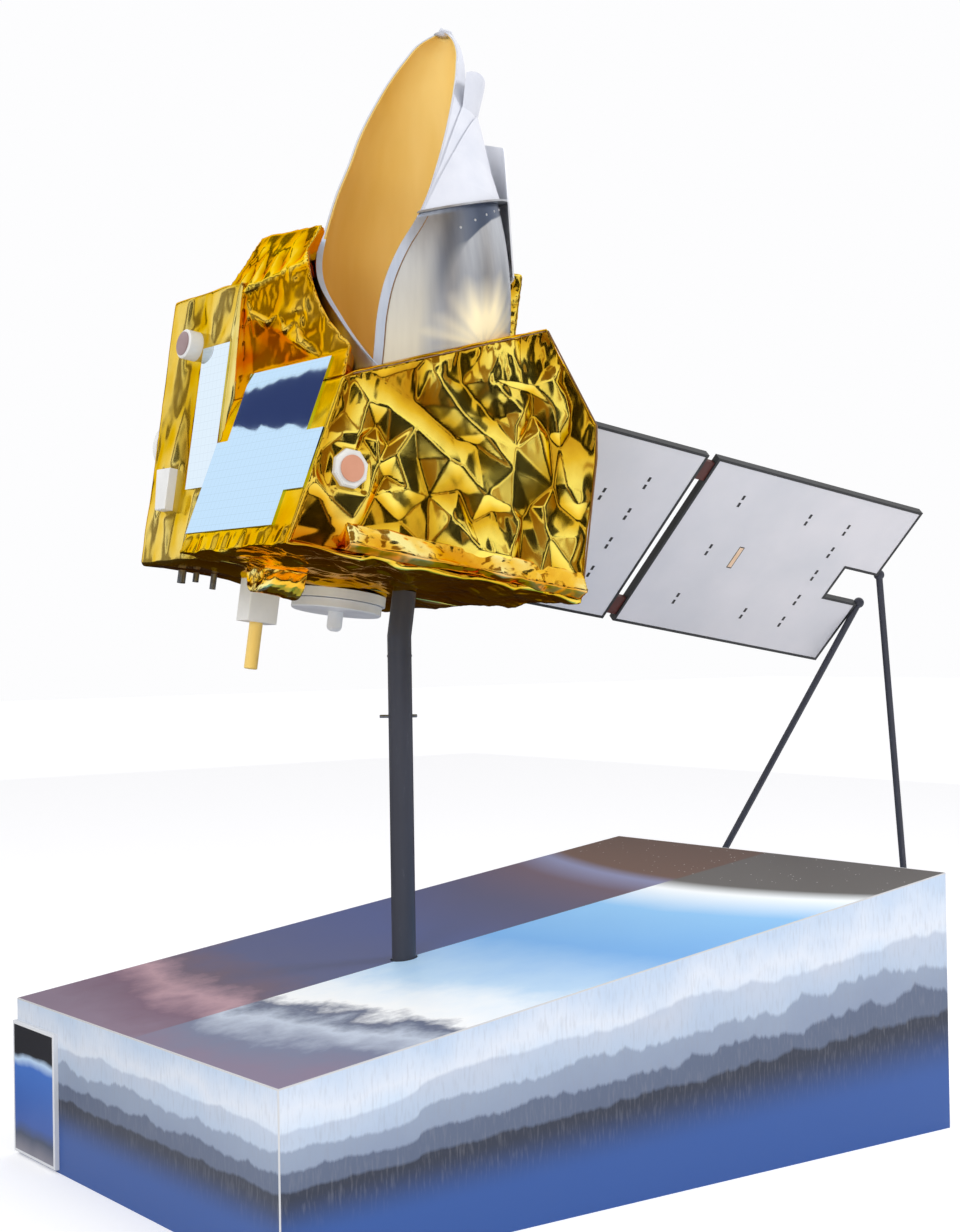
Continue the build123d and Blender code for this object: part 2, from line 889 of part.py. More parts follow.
with BuildPart() as mounting_disc:
    with BuildSketch(level(disc_c)):
        with Locations((plate_a, plate_b)):
            Circle(disc_radius)
    extrude(amount=-disc_drop)
    chamfer(mounting_disc.faces().sort_by(Axis.Z)[0].edges(), disc_bevel)
    with BuildSketch(level(disc_c - disc_drop)):
        with Locations((plate_a, plate_b)):
            Circle(boss_radius)
    extrude(amount=-boss_drop)
    fillet(mounting_disc.faces().sort_by(Axis.Z)[0].edges(), boss_round)
save(mounting_disc, "mounting_disc")

# Wing: a plane along the wing, turned about it, white side down and to the front
wing_plane = Plane(
    origin=body_point(0, 0, wing_c),
    x_dir=body_plane.x_dir,
    z_dir=body_plane.y_dir * sin(radians(wing_tilt)) + body_plane.z_dir * cos(radians(wing_tilt)),
)
inner_outline = [
    (inner_start, wing_chord_low),
    (inner_end, wing_chord_low),
    (inner_end, wing_chord_high),
    (inner_start, wing_chord_high),
]
outer_outline = [
    (outer_start, wing_chord_low),
    (outer_end, wing_chord_low),
    (outer_end, notch_low),
    (notch_start, notch_low),
    (notch_start, notch_high),
    (outer_end, notch_high),
    (outer_end, wing_chord_high),
    (outer_start, wing_chord_high),
]
for panel_name, outline in (("wing_inner", inner_outline), ("wing_outer", outer_outline)):
    with BuildPart() as wing_frame:
        with BuildSketch(wing_plane.offset(-frame_proud)):
            with BuildLine():
                Polyline(*outline, close=True)
            make_face()
            offset(amount=-rail_width, kind=Kind.INTERSECTION, mode=Mode.SUBTRACT)
        extrude(amount=panel_thickness + 2 * frame_proud)
    save(wing_frame, panel_name + "_frame")
    with BuildPart() as wing_panel:
        with BuildSketch(wing_plane) as panel_face:
            with BuildLine():
                Polyline(*outline, close=True)
            make_face()
            offset(amount=-rail_width - seat, kind=Kind.INTERSECTION, mode=Mode.REPLACE)
        extrude(amount=panel_thickness)
    save(wing_panel, panel_name + "_panel")
    with BuildPart() as wing_cells:
        with BuildSketch(wing_plane.offset(panel_thickness)):
            with BuildLine():
                Polyline(*outline, close=True)
            make_face()
            offset(amount=-rail_width * 2, kind=Kind.INTERSECTION, mode=Mode.REPLACE)
        extrude(amount=cell_thickness)
    save(wing_cells, panel_name + "_cells")

# Hinges that bridge the gap between the panels, one near each long edge
with BuildPart() as wing_hinges:
    for edge in (wing_chord_low + hinge_inset, wing_chord_high - hinge_inset - hinge_width):
        with BuildSketch(wing_plane.offset((panel_thickness - hinge_thickness) / 2)):
            with Locations(((inner_end + outer_start) / 2, edge + hinge_width / 2)):
                Rectangle(outer_start - inner_end, hinge_width)
        extrude(amount=hinge_thickness)
save(wing_hinges, "wing_hinges")

# Root bar and drive shaft between the body and the inner panel
root_middle = (wing_chord_low + wing_chord_high) / 2
with BuildPart() as wing_root:
    with BuildSketch(wing_plane):
        with Locations((inner_start - root_depth / 2, root_middle)):
            Rectangle(root_depth, root_length)
    extrude(amount=panel_thickness)
save(wing_root, "wing_root")

with BuildPart() as wing_shaft:
    shaft_start = wing_plane.from_local_coords(Vector(body_right, root_middle, panel_thickness / 2))
    with BuildSketch(Plane(origin=shaft_start, x_dir=body_plane.y_dir, z_dir=body_plane.x_dir)):
        Circle(shaft_diameter / 2)
    extrude(amount=inner_start - root_depth - body_right)
save(wing_shaft, "wing_shaft")

# Struts: a rod with a ball at the notch's corner, on a round foot
strut_feet_places = [(front_foot_x, front_foot_y), (rear_foot_x, rear_foot_y)]
ball_radius = strut_end_diameter / 2
for strut_name, foot_place, corner in (
    ("front_strut", strut_feet_places[0], notch_low),
    ("rear_strut", strut_feet_places[1], notch_high),
):
    strut_foot = Vector(foot_place[0], foot_place[1], 0)
    strut_head = wing_plane.from_local_coords(
        Vector(outer_end + ball_radius + seat, corner, panel_thickness / 2)
    )
    with BuildPart() as strut:
        with BuildSketch(Plane(origin=strut_foot, z_dir=strut_head - strut_foot)):
            Circle(strut_diameter / 2)
        extrude(amount=(strut_head - strut_foot).length)
        with Locations(strut_head):
            Sphere(ball_radius)
        split(bisect_by=Plane.XY.offset(foot_thickness), keep=Keep.TOP)
    save(strut, strut_name)

with BuildPart() as strut_feet:
    with BuildSketch(Plane.XY):
        with Locations(*strut_feet_places):
            Circle(foot_diameter / 2)
    extrude(amount=foot_thickness)
save(strut_feet, "strut_feet")
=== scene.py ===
from math import cos, pi, radians, sin

import bpy
import numpy as np
from mathutils import Matrix, Vector
from mathutils.geometry import delaunay_2d_cdt


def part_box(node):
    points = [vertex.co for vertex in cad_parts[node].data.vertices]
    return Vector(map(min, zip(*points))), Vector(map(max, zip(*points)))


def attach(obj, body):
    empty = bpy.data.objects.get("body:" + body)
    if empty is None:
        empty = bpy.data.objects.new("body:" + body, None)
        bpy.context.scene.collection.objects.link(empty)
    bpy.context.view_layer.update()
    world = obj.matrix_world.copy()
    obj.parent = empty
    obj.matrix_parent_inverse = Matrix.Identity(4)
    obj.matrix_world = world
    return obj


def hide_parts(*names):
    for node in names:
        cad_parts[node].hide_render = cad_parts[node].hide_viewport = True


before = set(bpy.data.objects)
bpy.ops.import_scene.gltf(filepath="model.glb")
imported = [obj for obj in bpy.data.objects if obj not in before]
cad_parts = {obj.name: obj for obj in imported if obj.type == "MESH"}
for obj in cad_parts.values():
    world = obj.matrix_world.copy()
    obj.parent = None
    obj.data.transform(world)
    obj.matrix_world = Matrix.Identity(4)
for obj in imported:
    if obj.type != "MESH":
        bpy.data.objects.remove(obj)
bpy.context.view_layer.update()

# The satellite's own frame: a along the wing, b to the back, c up the post, metres
LEAN = radians(9)
SAT_ORIGIN = np.array((-0.252, 0.005, 1.297))
SAT_AXES = np.array(((cos(LEAN), 0, -sin(LEAN)), (0, 1, 0), (sin(LEAN), 0, cos(LEAN))))


def in_scene(points):
    """Points of the satellite's frame, in the part's frame."""
    return SAT_ORIGIN + np.asarray(points, float) @ SAT_AXES


def in_satellite(points):
    """Points of the part's frame, in the satellite's frame."""
    return (np.asarray(points, float) - SAT_ORIGIN) @ SAT_AXES.T


WING_TILT = radians(49)
# The baffle's axis, along and to the back, and the hollow in the housing round its drum
BAFFLE_AXIS = np.array((-0.158, -0.152))
DRUM_CLEARANCE = 0.246


# Materials
def colour(hex_value):
    """A linear colour from an sRGB hex value."""
    parts = [int(hex_value[i : i + 2], 16) / 255 for i in (1, 3, 5)]
    return tuple(p / 12.92 if p <= 0.04045 else ((p + 0.055) / 1.055) ** 2.4 for p in parts) + (1,)


def add(tree, kind, inputs=None, stops=(), output=0, **settings):
    """Adds a node with its settings, links and colour stops, and gives one of its outputs."""
    node = tree.nodes.new(kind)
    for setting, value in settings.items():
        setattr(node, setting, value)
    for socket, value in (inputs or {}).items():
        if isinstance(value, bpy.types.NodeSocket):
            tree.links.new(value, node.inputs[socket])
        else:
            node.inputs[socket].default_value = value
    for index, (place, hex_value) in enumerate(stops):
        elements = node.color_ramp.elements
        element = elements[index] if index < 2 else elements.new(1.0)
        element.position = place
        element.color = colour(hex_value)
    return node.outputs[output]


def maths(tree, operation, *values, **settings):
    """A node that reckons with numbers."""
    return add(tree, "ShaderNodeMath", dict(enumerate(values)), operation=operation, **settings)


def noise(tree, place, scale, detail, roughness=0.5):
    """A cloudy random texture; its patches are about 1 / scale metres wide."""
    inputs = {"Vector": place, "Scale": scale, "Detail": detail, "Roughness": roughness}
    return add(tree, "ShaderNodeTexNoise", inputs, output="Fac")


def ramp(tree, level, stops):
    """A colour for each level, between colour stops."""
    return add(tree, "ShaderNodeValToRGB", {"Fac": level}, stops)


def blend(tree, share, under, over):
    """One colour laid over another by a share."""
    inputs = {"Factor": share, "A": under, "B": over}
    return add(tree, "ShaderNodeMix", inputs, data_type="RGBA", output="Result")


def laid_grid(tree, place, tones, joint, length, width, gap):
    """Oblongs laid in a grid, in two tones, with joints between them."""
    inputs = {
        "Vector": place,
        "Color1": colour(tones[0]),
        "Color2": colour(tones[1]),
        "Mortar": colour(joint),
        "Scale": 1.0,
        "Mortar Size": gap,
        "Brick Width": length,
        "Row Height": width,
    }
    return add(tree, "ShaderNodeTexBrick", inputs, offset=0.0)


def surface(name, **sockets):
    """Starts a material: its node tree and its shader, with plain values on the shader's sockets."""
    made = bpy.data.materials.new(name)
    made.use_nodes = True
    tree = made.node_tree
    shader = tree.nodes["Principled BSDF"]
    for socket, value in sockets.items():
        shader.inputs[socket.replace("_", " ")].default_value = value
    return made, tree, shader


def film_material(name, valley_shade, slope, ridge_highlight):
    """Metallised polyimide film, vacuum coated and crumpled by hand: a clear gold mirror, with painted
    shade in its valleys, a painted highlight on its ridges, and painted deep amber where film looks
    at film and where it lies in shade."""
    made, tree, shader = surface(name, Metallic=1.0, Roughness=0.13, Specular_Tint=colour("#FFC94A"))
    place = add(tree, "ShaderNodeTexCoord", output="Object")
    # the fold's height sets painted shade in the valleys and a painted highlight on the ridges
    depth = add(tree, "ShaderNodeAttribute", attribute_name="fold_height", output="Fac")
    # marks of handling, about 90 mm apart
    handled = noise(tree, place, 11.0, 3.0)
    mixed = maths(tree, "MULTIPLY_ADD", handled, 0.5, depth)
    tint = ramp(tree, mixed, ((0.35, valley_shade), (0.68, slope), (0.95, ridge_highlight)))
    # painted amber: a deep orange reflection of film in film, and painted shade under folds and on undersides
    painted_amber = add(tree, "ShaderNodeAttribute", attribute_name="painted_amber", output="Fac")
    amber_painted_over = blend(tree, painted_amber, tint, colour("#D26C04"))
    tree.links.new(amber_painted_over, shader.inputs["Base Color"])
    # the flats belly a little, over 60 to 120 mm
    belly = noise(tree, place, 11.0, 0.5)
    bump = add(tree, "ShaderNodeBump", {"Height": belly, "Strength": 1.0, "Distance": 0.004})
    tree.links.new(bump, shader.inputs["Normal"])
    return made


def gold_sheet_material():
    """Anodised aluminium, matt gold: an even ochre with soft wide highlights and rolling streaks
    that run up the sheet, about 100 mm apart."""
    made, tree, shader = surface("anodised_gold", Metallic=0.1, Roughness=0.5)
    place = add(tree, "ShaderNodeTexCoord", output="Object")
    rolled = add(tree, "ShaderNodeMapping", {"Vector": place, "Scale": (7.0, 7.0, 0.8)})
    streak = noise(tree, rolled, 1.3, 3.0)
    tint = ramp(tree, streak, ((0.3, "#EFC968"), (0.7, "#F8D884")))
    tree.links.new(tint, shader.inputs["Base Color"])
    return made


def silver_sheet_material(name, low="#C0C4CC", high="#D0D4DA"):
    """Rolled aluminium sheet, fine satin: a cool grey mirror that blurs what stands round it.
    Under the flange it carries a painted dark blue reflection; the foot carries a painted warm glow."""
    made, tree, shader = surface(name)
    place = add(tree, "ShaderNodeTexCoord", output="Object")
    # rolling lines 17 mm apart, coarser than the real ones so that they show
    rolled = add(tree, "ShaderNodeMapping", {"Vector": place, "Scale": (30.0, 30.0, 1.5)})
    grain = noise(tree, rolled, 2.0, 2.0)
    tint = ramp(tree, grain, ((0.3, low), (0.7, high)))
    painted_dark_reflection = add(tree, "ShaderNodeAttribute", attribute_name="painted_dark_reflection", output="Fac")
    painted_glow = add(tree, "ShaderNodeAttribute", attribute_name="painted_warm_glow", output="Fac")
    reflection_darkened = blend(tree, painted_dark_reflection, tint, colour("#536079"))
    glow_lightened = blend(tree, painted_glow, reflection_darkened, colour("#FFEFC4"))
    tree.links.new(glow_lightened, shader.inputs["Base Color"])
    # where the painted glow lies the sheet is less metallic, so that the glow's colour shows
    glow_dulled = add(tree, "ShaderNodeMapRange", {"Value": painted_glow, "To Min": 1.0, "To Max": 0.25})
    tree.links.new(glow_dulled, shader.inputs["Metallic"])
    rough = add(tree, "ShaderNodeMapRange", {"Value": grain, "To Min": 0.34, "To Max": 0.4})
    tree.links.new(rough, shader.inputs["Roughness"])
    return made


def paint_material(name, low, high, roughness=0.42, scale=14.0):
    """Sprayed paint: even satin with the faint mottling of a spray coat, two near tones. The scale
    gives the mottling's patches: 70 mm at 14."""
    made, tree, shader = surface(name, Roughness=roughness)
    place = add(tree, "ShaderNodeTexCoord", output="Object")
    coat = noise(tree, place, scale, 4.0)
    # orange peel of 2 to 3 mm
    peel = noise(tree, place, 420.0, 1.0)
    tint = ramp(tree, coat, ((0.32, low), (0.68, high)))
    bump = add(tree, "ShaderNodeBump", {"Height": peel, "Strength": 0.08, "Distance": 0.0005})
    tree.links.new(tint, shader.inputs["Base Color"])
    tree.links.new(bump, shader.inputs["Normal"])
    return made


# Mirror tiles and the joints between them
TILE = 0.02
TILE_JOINT = 0.0005


def mirror_tile_material(name, glass, joint):
    """Silvered glass tiles, 20 mm square, laid by hand: a mirror tinted pale blue as a painted reflection
    of sky, ruled by fine joints, which wavers a little."""
    made, tree, shader = surface(name, Metallic=1.0, Roughness=0.025)
    place = add(tree, "ShaderNodeTexCoord", output="Object")
    upright = add(tree, "ShaderNodeMapping", {"Vector": place, "Rotation": (0, -LEAN, 0)})
    axes = add(tree, "ShaderNodeSeparateXYZ", {"Vector": upright}).node.outputs
    laid = add(tree, "ShaderNodeCombineXYZ", {"X": axes["Y"], "Y": axes["Z"]})
    tiles = laid_grid(tree, laid, (glass, glass), joint, TILE, TILE, TILE_JOINT)
    tree.links.new(tiles, shader.inputs["Base Color"])
    # the glass wavers a little, over 110 mm
    waver = noise(tree, place, 9.0, 1.0)
    bump = add(tree, "ShaderNodeBump", {"Height": waver, "Strength": 0.12, "Distance": 0.002})
    tree.links.new(bump, shader.inputs["Normal"])
    return made


# The plinth: half its length and width, its top's height at the middle and its slope, and the
# metal strips along its edges
PLINTH_HALF_LENGTH = 1.0
PLINTH_HALF_WIDTH = 0.66
PLINTH_MIDDLE = 0.52675
PLINTH_SLOPE = 0.13425
EDGE_STRIP = 0.003


def board_material(name):
    """Printed film on board, satin laminated: mist and low hills over dark ground and deep blue on
    the sides, a blue limb of sky on the sloping top, and bare aluminium edge strips."""
    made, tree, shader = surface(name, Roughness=0.42)
    place = add(tree, "ShaderNodeTexCoord", output="Object")
    axes = add(tree, "ShaderNodeSeparateXYZ", {"Vector": place}).node.outputs
    x, y, z = axes["X"], axes["Y"], axes["Z"]
    normal = add(tree, "ShaderNodeNewGeometry", output="True Normal")
    facing_up = add(tree, "ShaderNodeSeparateXYZ", {"Vector": normal}, output="Z")

    # the sides: height as a share of the board's height at that place
    top = maths(tree, "MULTIPLY_ADD", x, PLINTH_SLOPE, PLINTH_MIDDLE)
    share = maths(tree, "DIVIDE", z, top)
    along = maths(tree, "SUBTRACT", x, y)
    beside = add(tree, "ShaderNodeCombineXYZ", {"X": along, "Y": z})
    # banks of mist about 300 mm long
    mist = noise(tree, beside, 3.4, 6.0, 0.6)
    drifting = maths(tree, "MULTIPLY_ADD", mist, 0.5, -0.25)
    veil = maths(tree, "ADD", share, drifting)
    tones = ((0.36, "#8794B2"), (0.52, "#A5B8D4"), (0.68, "#C4D6EA"), (0.84, "#D6DDE8"), (1.0, "#BCCDE2"))
    side = ramp(tree, veil, tones)
    # hill lines, each nearer one darker, crisper and lower; the last is the dark ground
    for height, rise, scale, rough, tone, cover in HILLS:
        waves = {"W": along, "Scale": scale, "Detail": 9.0, "Roughness": rough}
        line = add(tree, "ShaderNodeTexNoise", waves, noise_dimensions="1D", output="Fac")
        crest = maths(tree, "MULTIPLY_ADD", line, rise * 2, height - rise)
        below = maths(tree, "SUBTRACT", crest, share)
        solid = maths(tree, "MULTIPLY", below, 60.0, use_clamp=True)
        weight = maths(tree, "MULTIPLY", solid, cover)
        side = blend(tree, weight, side, colour(tone))
    # dry grass on the ground: upright blades about 7 mm wide
    blades = add(tree, "ShaderNodeMapping", {"Vector": beside, "Scale": (150.0, 22.0, 1.0)})
    grass = noise(tree, blades, 1.0, 4.0)
    lit = add(tree, "ShaderNodeMapRange", {"Value": grass, "From Min": 0.5, "From Max": 0.85, "To Max": 0.35})
    side = blend(tree, lit, side, colour("#8D8F98"))
    # the ground sinks into deep blue
    sinking = {"Value": share, "From Min": 0.44, "From Max": 0.2}
    sea = add(tree, "ShaderNodeMapRange", sinking, interpolation_type="SMOOTHSTEP")
    side = blend(tree, sea, side, colour("#2A5298"))

    # the top: bands across the length, bent like a planet's limb, with cloud flecks
    sweep = maths(tree, "MULTIPLY", y, y)
    bent = maths(tree, "MULTIPLY_ADD", sweep, -0.25, x)
    # cloud flecks of 200 mm and less
    drift = noise(tree, place, 5.0, 8.0, 0.62)
    stray = maths(tree, "MULTIPLY_ADD", drift, 0.34, -0.17)
    near_end = add(tree, "ShaderNodeMapRange", {"Value": x, "From Min": 0.5, "From Max": -0.4})
    strayed = maths(tree, "MULTIPLY_ADD", stray, near_end, bent)
    reach = maths(tree, "MULTIPLY_ADD", strayed, 0.5, 0.5)
    halves = [ramp(tree, reach, stops) for stops in (FRONT_BANDS, REAR_BANDS)]
    behind = maths(tree, "GREATER_THAN", y, 0.0)
    upper = blend(tree, behind, halves[0], halves[1])
    # specks on the dark end, about 4 mm across
    specks = add(tree, "ShaderNodeTexVoronoi", {"Vector": place, "Scale": 42.0}, output="Distance")
    star = maths(tree, "LESS_THAN", specks, 0.09)
    far_end = maths(tree, "GREATER_THAN", reach, 0.84)
    starred = maths(tree, "MULTIPLY", star, far_end)
    upper = blend(tree, starred, upper, colour("#C9C6C2"))
    is_top = maths(tree, "GREATER_THAN", facing_up, 0.5)
    printed = blend(tree, is_top, side, upper)

    # edge strips show where two of the three edges are near
    past = []
    for place_along, half in ((x, PLINTH_HALF_LENGTH), (y, PLINTH_HALF_WIDTH)):
        away = maths(tree, "ABSOLUTE", place_along)
        past.append(maths(tree, "GREATER_THAN", away, half - EDGE_STRIP))
    margin = maths(tree, "SUBTRACT", top, z)
    past.append(maths(tree, "LESS_THAN", margin, EDGE_STRIP))
    first_two = maths(tree, "ADD", past[0], past[1])
    all_three = maths(tree, "ADD", first_two, past[2])
    edges = maths(tree, "GREATER_THAN", all_three, 1.5)
    base = blend(tree, edges, printed, colour("#C9CACC"))
    tree.links.new(base, shader.inputs["Base Color"])
    return made


# Hill lines on the sides: height, rise, waves a metre, roughness, tone, cover
HILLS = (
    (0.80, 0.14, 2.0, 0.55, "#9AA6BC", 0.5),
    (0.68, 0.14, 3.4, 0.62, "#707C94", 0.6),
    (0.57, 0.10, 5.0, 0.62, "#46526C", 0.8),
    (0.47, 0.05, 7.0, 0.6, "#272E40", 0.97),
)
# Bands of the sloping top, from its low end to its high end: place and tone
FRONT_BANDS = (
    (0.0, "#7A6E88"),
    (0.07, "#6B7390"),
    (0.13, "#B9C4D6"),
    (0.17, "#4B5674"),
    (0.2, "#F2F5F8"),
    (0.26, "#E4EEF8"),
    (0.34, "#B4D3F0"),
    (0.5, "#69A9E6"),
    (0.68, "#86C0F0"),
    (0.78, "#F4FAFE"),
    (0.82, "#54504D"),
    (1.0, "#4A4543"),
)
REAR_BANDS = (
    (0.0, "#7E6A80"),
    (0.07, "#6E5068"),
    (0.13, "#B08C98"),
    (0.18, "#5E4C62"),
    (0.26, "#454C78"),
    (0.45, "#35457F"),
    (0.62, "#3F3E66"),
    (0.74, "#5A4356"),
    (0.8, "#7B7FA6"),
    (0.83, "#5B3A28"),
    (1.0, "#4A2C1C"),
)


# The notice: its margin, and its tones from the foot up
NOTICE_MARGIN = 0.008
NOTICE_TONES = (
    (0.05, "#8D8A93"),
    (0.2, "#3A4660"),
    (0.3, "#2F57A5"),
    (0.74, "#3E6FC0"),
    (0.8, "#B9D2EE"),
    (0.84, "#1F2128"),
)


def notice_material():
    """Printed film on a thin board, matt: a dark head over a blue field that greys towards the
    foot, with a white margin."""
    made, tree, shader = surface("printed_notice", Roughness=0.45)
    place = add(tree, "ShaderNodeTexCoord", output="Object")
    axes = add(tree, "ShaderNodeSeparateXYZ", {"Vector": place}).node.outputs
    low, high = (np.array(corner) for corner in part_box("notice_board"))
    drift = noise(tree, place, 7.0, 6.0)
    upright = {"Value": axes["Z"], "From Min": low[2], "From Max": high[2]}
    height = add(tree, "ShaderNodeMapRange", upright)
    stray = maths(tree, "MULTIPLY_ADD", drift, 0.12, height)
    field = ramp(tree, stray, NOTICE_TONES)
    tests = []
    for axis, index in (("Y", 1), ("Z", 2)):
        for limit, test in (
            (low[index] + NOTICE_MARGIN, "GREATER_THAN"),
            (high[index] - NOTICE_MARGIN, "LESS_THAN"),
        ):
            tests.append(maths(tree, test, axes[axis], limit))
    inside = tests[0]
    for test in tests[1:]:
        inside = maths(tree, "MULTIPLY", inside, test)
    base = blend(tree, inside, colour("#DADCE0"), field)
    tree.links.new(base, shader.inputs["Base Color"])
    return made


def worn_black_material():
    """Powder-coated steel tube, satin black, rubbed: chalky scuffs on a dark blue-grey coat."""
    made, tree, shader = surface("powder_coated_tube")
    place = add(tree, "ShaderNodeTexCoord", output="Object")
    # scuffs about 23 mm wide and 100 mm long
    rub = add(tree, "ShaderNodeMapping", {"Vector": place, "Scale": (22.0, 22.0, 5.0)})
    wear = noise(tree, rub, 2.0, 8.0, 0.72)
    tones = ((0.0, "#2B2D38"), (0.6, "#343641"), (0.72, "#4C505A"), (0.85, "#7A8086"))
    tint = ramp(tree, wear, tones)
    rough = add(tree, "ShaderNodeMapRange", {"Value": wear, "To Min": 0.3, "To Max": 0.6})
    tree.links.new(tint, shader.inputs["Base Color"])
    tree.links.new(rough, shader.inputs["Roughness"])
    return made


def brushed_steel_material():
    """Drawn steel rod, unpainted: a grey metal, faintly mottled."""
    made, tree, shader = surface("drawn_steel", Metallic=1.0, Roughness=0.36)
    place = add(tree, "ShaderNodeTexCoord", output="Object")
    # drawing marks of 17 mm and less
    drawn = noise(tree, place, 60.0, 4.0)
    tint = ramp(tree, drawn, ((0.3, "#5F6268"), (0.7, "#84878D")))
    tree.links.new(tint, shader.inputs["Base Color"])
    return made


# The wing's cells and the gaps between them
CELL_LENGTH = 0.08
CELL_WIDTH = 0.04
CELL_GAP = 0.0012


def cell_material():
    """Silicon cells under cover glass, laid in strings: near-black blue with a thin pale grid."""
    made, tree, shader = surface("silicon_cells", Roughness=0.12)
    place = add(tree, "ShaderNodeTexCoord", output="Object")
    upright = add(tree, "ShaderNodeMapping", {"Vector": place, "Rotation": (0, -LEAN, 0)})
    flat = add(tree, "ShaderNodeMapping", {"Vector": upright, "Rotation": (WING_TILT, 0, 0)})
    tones = ("#10183A", "#141E46")
    strings = laid_grid(tree, flat, tones, "#9AA0A8", CELL_LENGTH, CELL_WIDTH, CELL_GAP)
    tree.links.new(strings, shader.inputs["Base Color"])
    return made


film = film_material("metallised_film", "#B87A0C", "#E9BB2C", "#FFE566")
# a paler copy of the film: the pale lemon of reflected sky on the rear blanket is painted into its colour
sky_painted_film = film_material("metallised_film_painted_sky", "#BE9434", "#DCC058", "#F2E08C")
# a warmer copy of the film: the bright orange reflection on the fold and the pouch is painted into its colour
warm_painted_film = film_material("metallised_film_painted_warm", "#E09A1E", "#FAC63E", "#FFF09A")
gold_sheet = gold_sheet_material()
silver_sheet = silver_sheet_material("rolled_aluminium")
lip_sheet = silver_sheet_material("rolled_aluminium_lip", "#C9D2E2", "#D8DFEC")
# a pale blue paint on the drum's far lip edge: a painted reflection of sky on its shaded metal edge
lip_painted_reflection = paint_material("pale_blue_painted_reflection", "#B9CEEE", "#CBDCF5", roughness=0.4)
rivet_metal = silver_sheet_material("bright_rivets", "#E6E9EF", "#F4F6FA")
white_sheet = paint_material("sprayed_white_sheet", "#C9CCD6", "#D2D4DC", roughness=0.4)
white_paint = paint_material("sprayed_white", "#DCDCDA", "#E8E8E6")
grey_paint = paint_material("sprayed_pale_grey", "#C9C8C4", "#D6D5D1")
copper_paint = paint_material("sprayed_copper_pink", "#BE8468", "#CB9176", roughness=0.5)
# a paler copy of the white sheets' paint, painted lighter to lift the shield out of its shade
shield_lit_paint = paint_material("sprayed_white_painted_lighter", "#EEF0F5", "#F6F7FA", roughness=0.4)
dull_paint = paint_material("sprayed_dull_pink", "#8F7778", "#9F898A", roughness=0.5)
panel_paint = paint_material("sprayed_panel_white", "#D6D6DB", "#E0DEE2", roughness=0.5, scale=5.0)
rail_paint = paint_material("sprayed_black", "#17181A", "#232528", roughness=0.45)
clip_plastic = paint_material("moulded_black_clip", "#1E1C1E", "#2C292A", roughness=0.5, scale=60.0)
tag_film = paint_material("peach_tag_film", "#EBC6A2", "#F2D2B2", roughness=0.5, scale=40.0)
seam_tape = paint_material("brown_seam_tape", "#6E5238", "#86694C", roughness=0.55, scale=50.0)
# the red-brown line between the wing's panels is a painted reflection
hinge_painted_reflection = paint_material("red_brown_painted_reflection", "#4A1F1A", "#5E2B24", roughness=0.5, scale=30.0)
post_paint = worn_black_material()
steel = brushed_steel_material()
# the tiles' pale blue is a painted reflection of sky; the side tiles' paler copy is painted lighter
front_tiles = mirror_tile_material("silvered_tiles", "#C3E4FE", "#B9D8F0")
side_tiles = mirror_tile_material("silvered_tiles_pale", "#E2F2FE", "#D8E8F5")
cells = cell_material()
printed_board = board_material("printed_board")
notice_face = notice_material()

NODE_FINISHES = (
    (silver_sheet, ("baffle_flange",)),
    (gold_sheet, ("gold_rod",)),
    (white_sheet, ("baffle_cone", "baffle_petal", "baffle_tip")),
    (shield_lit_paint, ("baffle_shield",)),
    (front_tiles, ("front_radiator",)),
    (side_tiles, ("side_radiator",)),
    (white_paint, ("side_antenna", "side_cover", "back_cover", "small_block", "rod_block")),
    (white_paint, ("mounting_plate", "mounting_disc")),
    (grey_paint, ("front_antenna",)),
    (copper_paint, ("front_antenna_disc",)),
    (dull_paint, ("side_antenna_disc",)),
    (panel_paint, ("wing_inner_panel", "wing_outer_panel")),
    (rail_paint, ("wing_inner_frame", "wing_outer_frame", "wing_root")),
    (hinge_painted_reflection, ("wing_hinges",)),
    (cells, ("wing_inner_cells", "wing_outer_cells")),
    (post_paint, ("post", "post_collar", "front_strut", "rear_strut", "strut_feet")),
    (steel, ("post_pin", "wing_shaft", "underside_studs")),
    (printed_board, ("plinth_front_half", "plinth_rear_half")),
    (notice_face, ("notice_board",)),
)
for finish, nodes in NODE_FINISHES:
    for node in nodes:
        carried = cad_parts[node]
        carried.data.materials.clear()
        carried.data.materials.append(finish)


# Pieces
def piece(name, points, faces, finish, stands_for=(), smooth=True, values=None):
    """A mesh piece that rides on the part's one body, with a value at each point for its finish."""
    mesh = bpy.data.meshes.new(name)
    mesh.from_pydata([tuple(p) for p in points], [], [tuple(f) for f in faces])
    for label, numbers in (values or {}).items():
        mesh.attributes.new(label, "FLOAT", "POINT").data.foreach_set("value", numbers)
    mesh.materials.append(finish)
    if smooth:
        mesh.shade_smooth()
    mesh.validate()
    made = bpy.data.objects.new(name, mesh)
    bpy.context.scene.collection.objects.link(made)
    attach(made, "root")
    if stands_for:
        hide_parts(*stands_for)


# Foil blankets
# Large odd numbers that scatter lattice corners and seeds into a fixed random pattern
CORNER_SCATTER = (73856093, 19349663, 83492791)
SEED_SCATTER = 2654435
STIRS = ((13, 1274126177), (15, 2246822519))
WORD = 2**32


def lattice_height(corner, seed):
    """A fixed random height from -1 to 1 at each lattice corner."""
    mixed = np.bitwise_xor.reduce(corner * CORNER_SCATTER, axis=1) ^ (seed * SEED_SCATTER)
    for shift, factor in STIRS:
        mixed = ((mixed ^ (mixed >> shift)) * factor) & (WORD - 1)
    return (mixed ^ (mixed >> 16)) / (WORD / 2) - 1


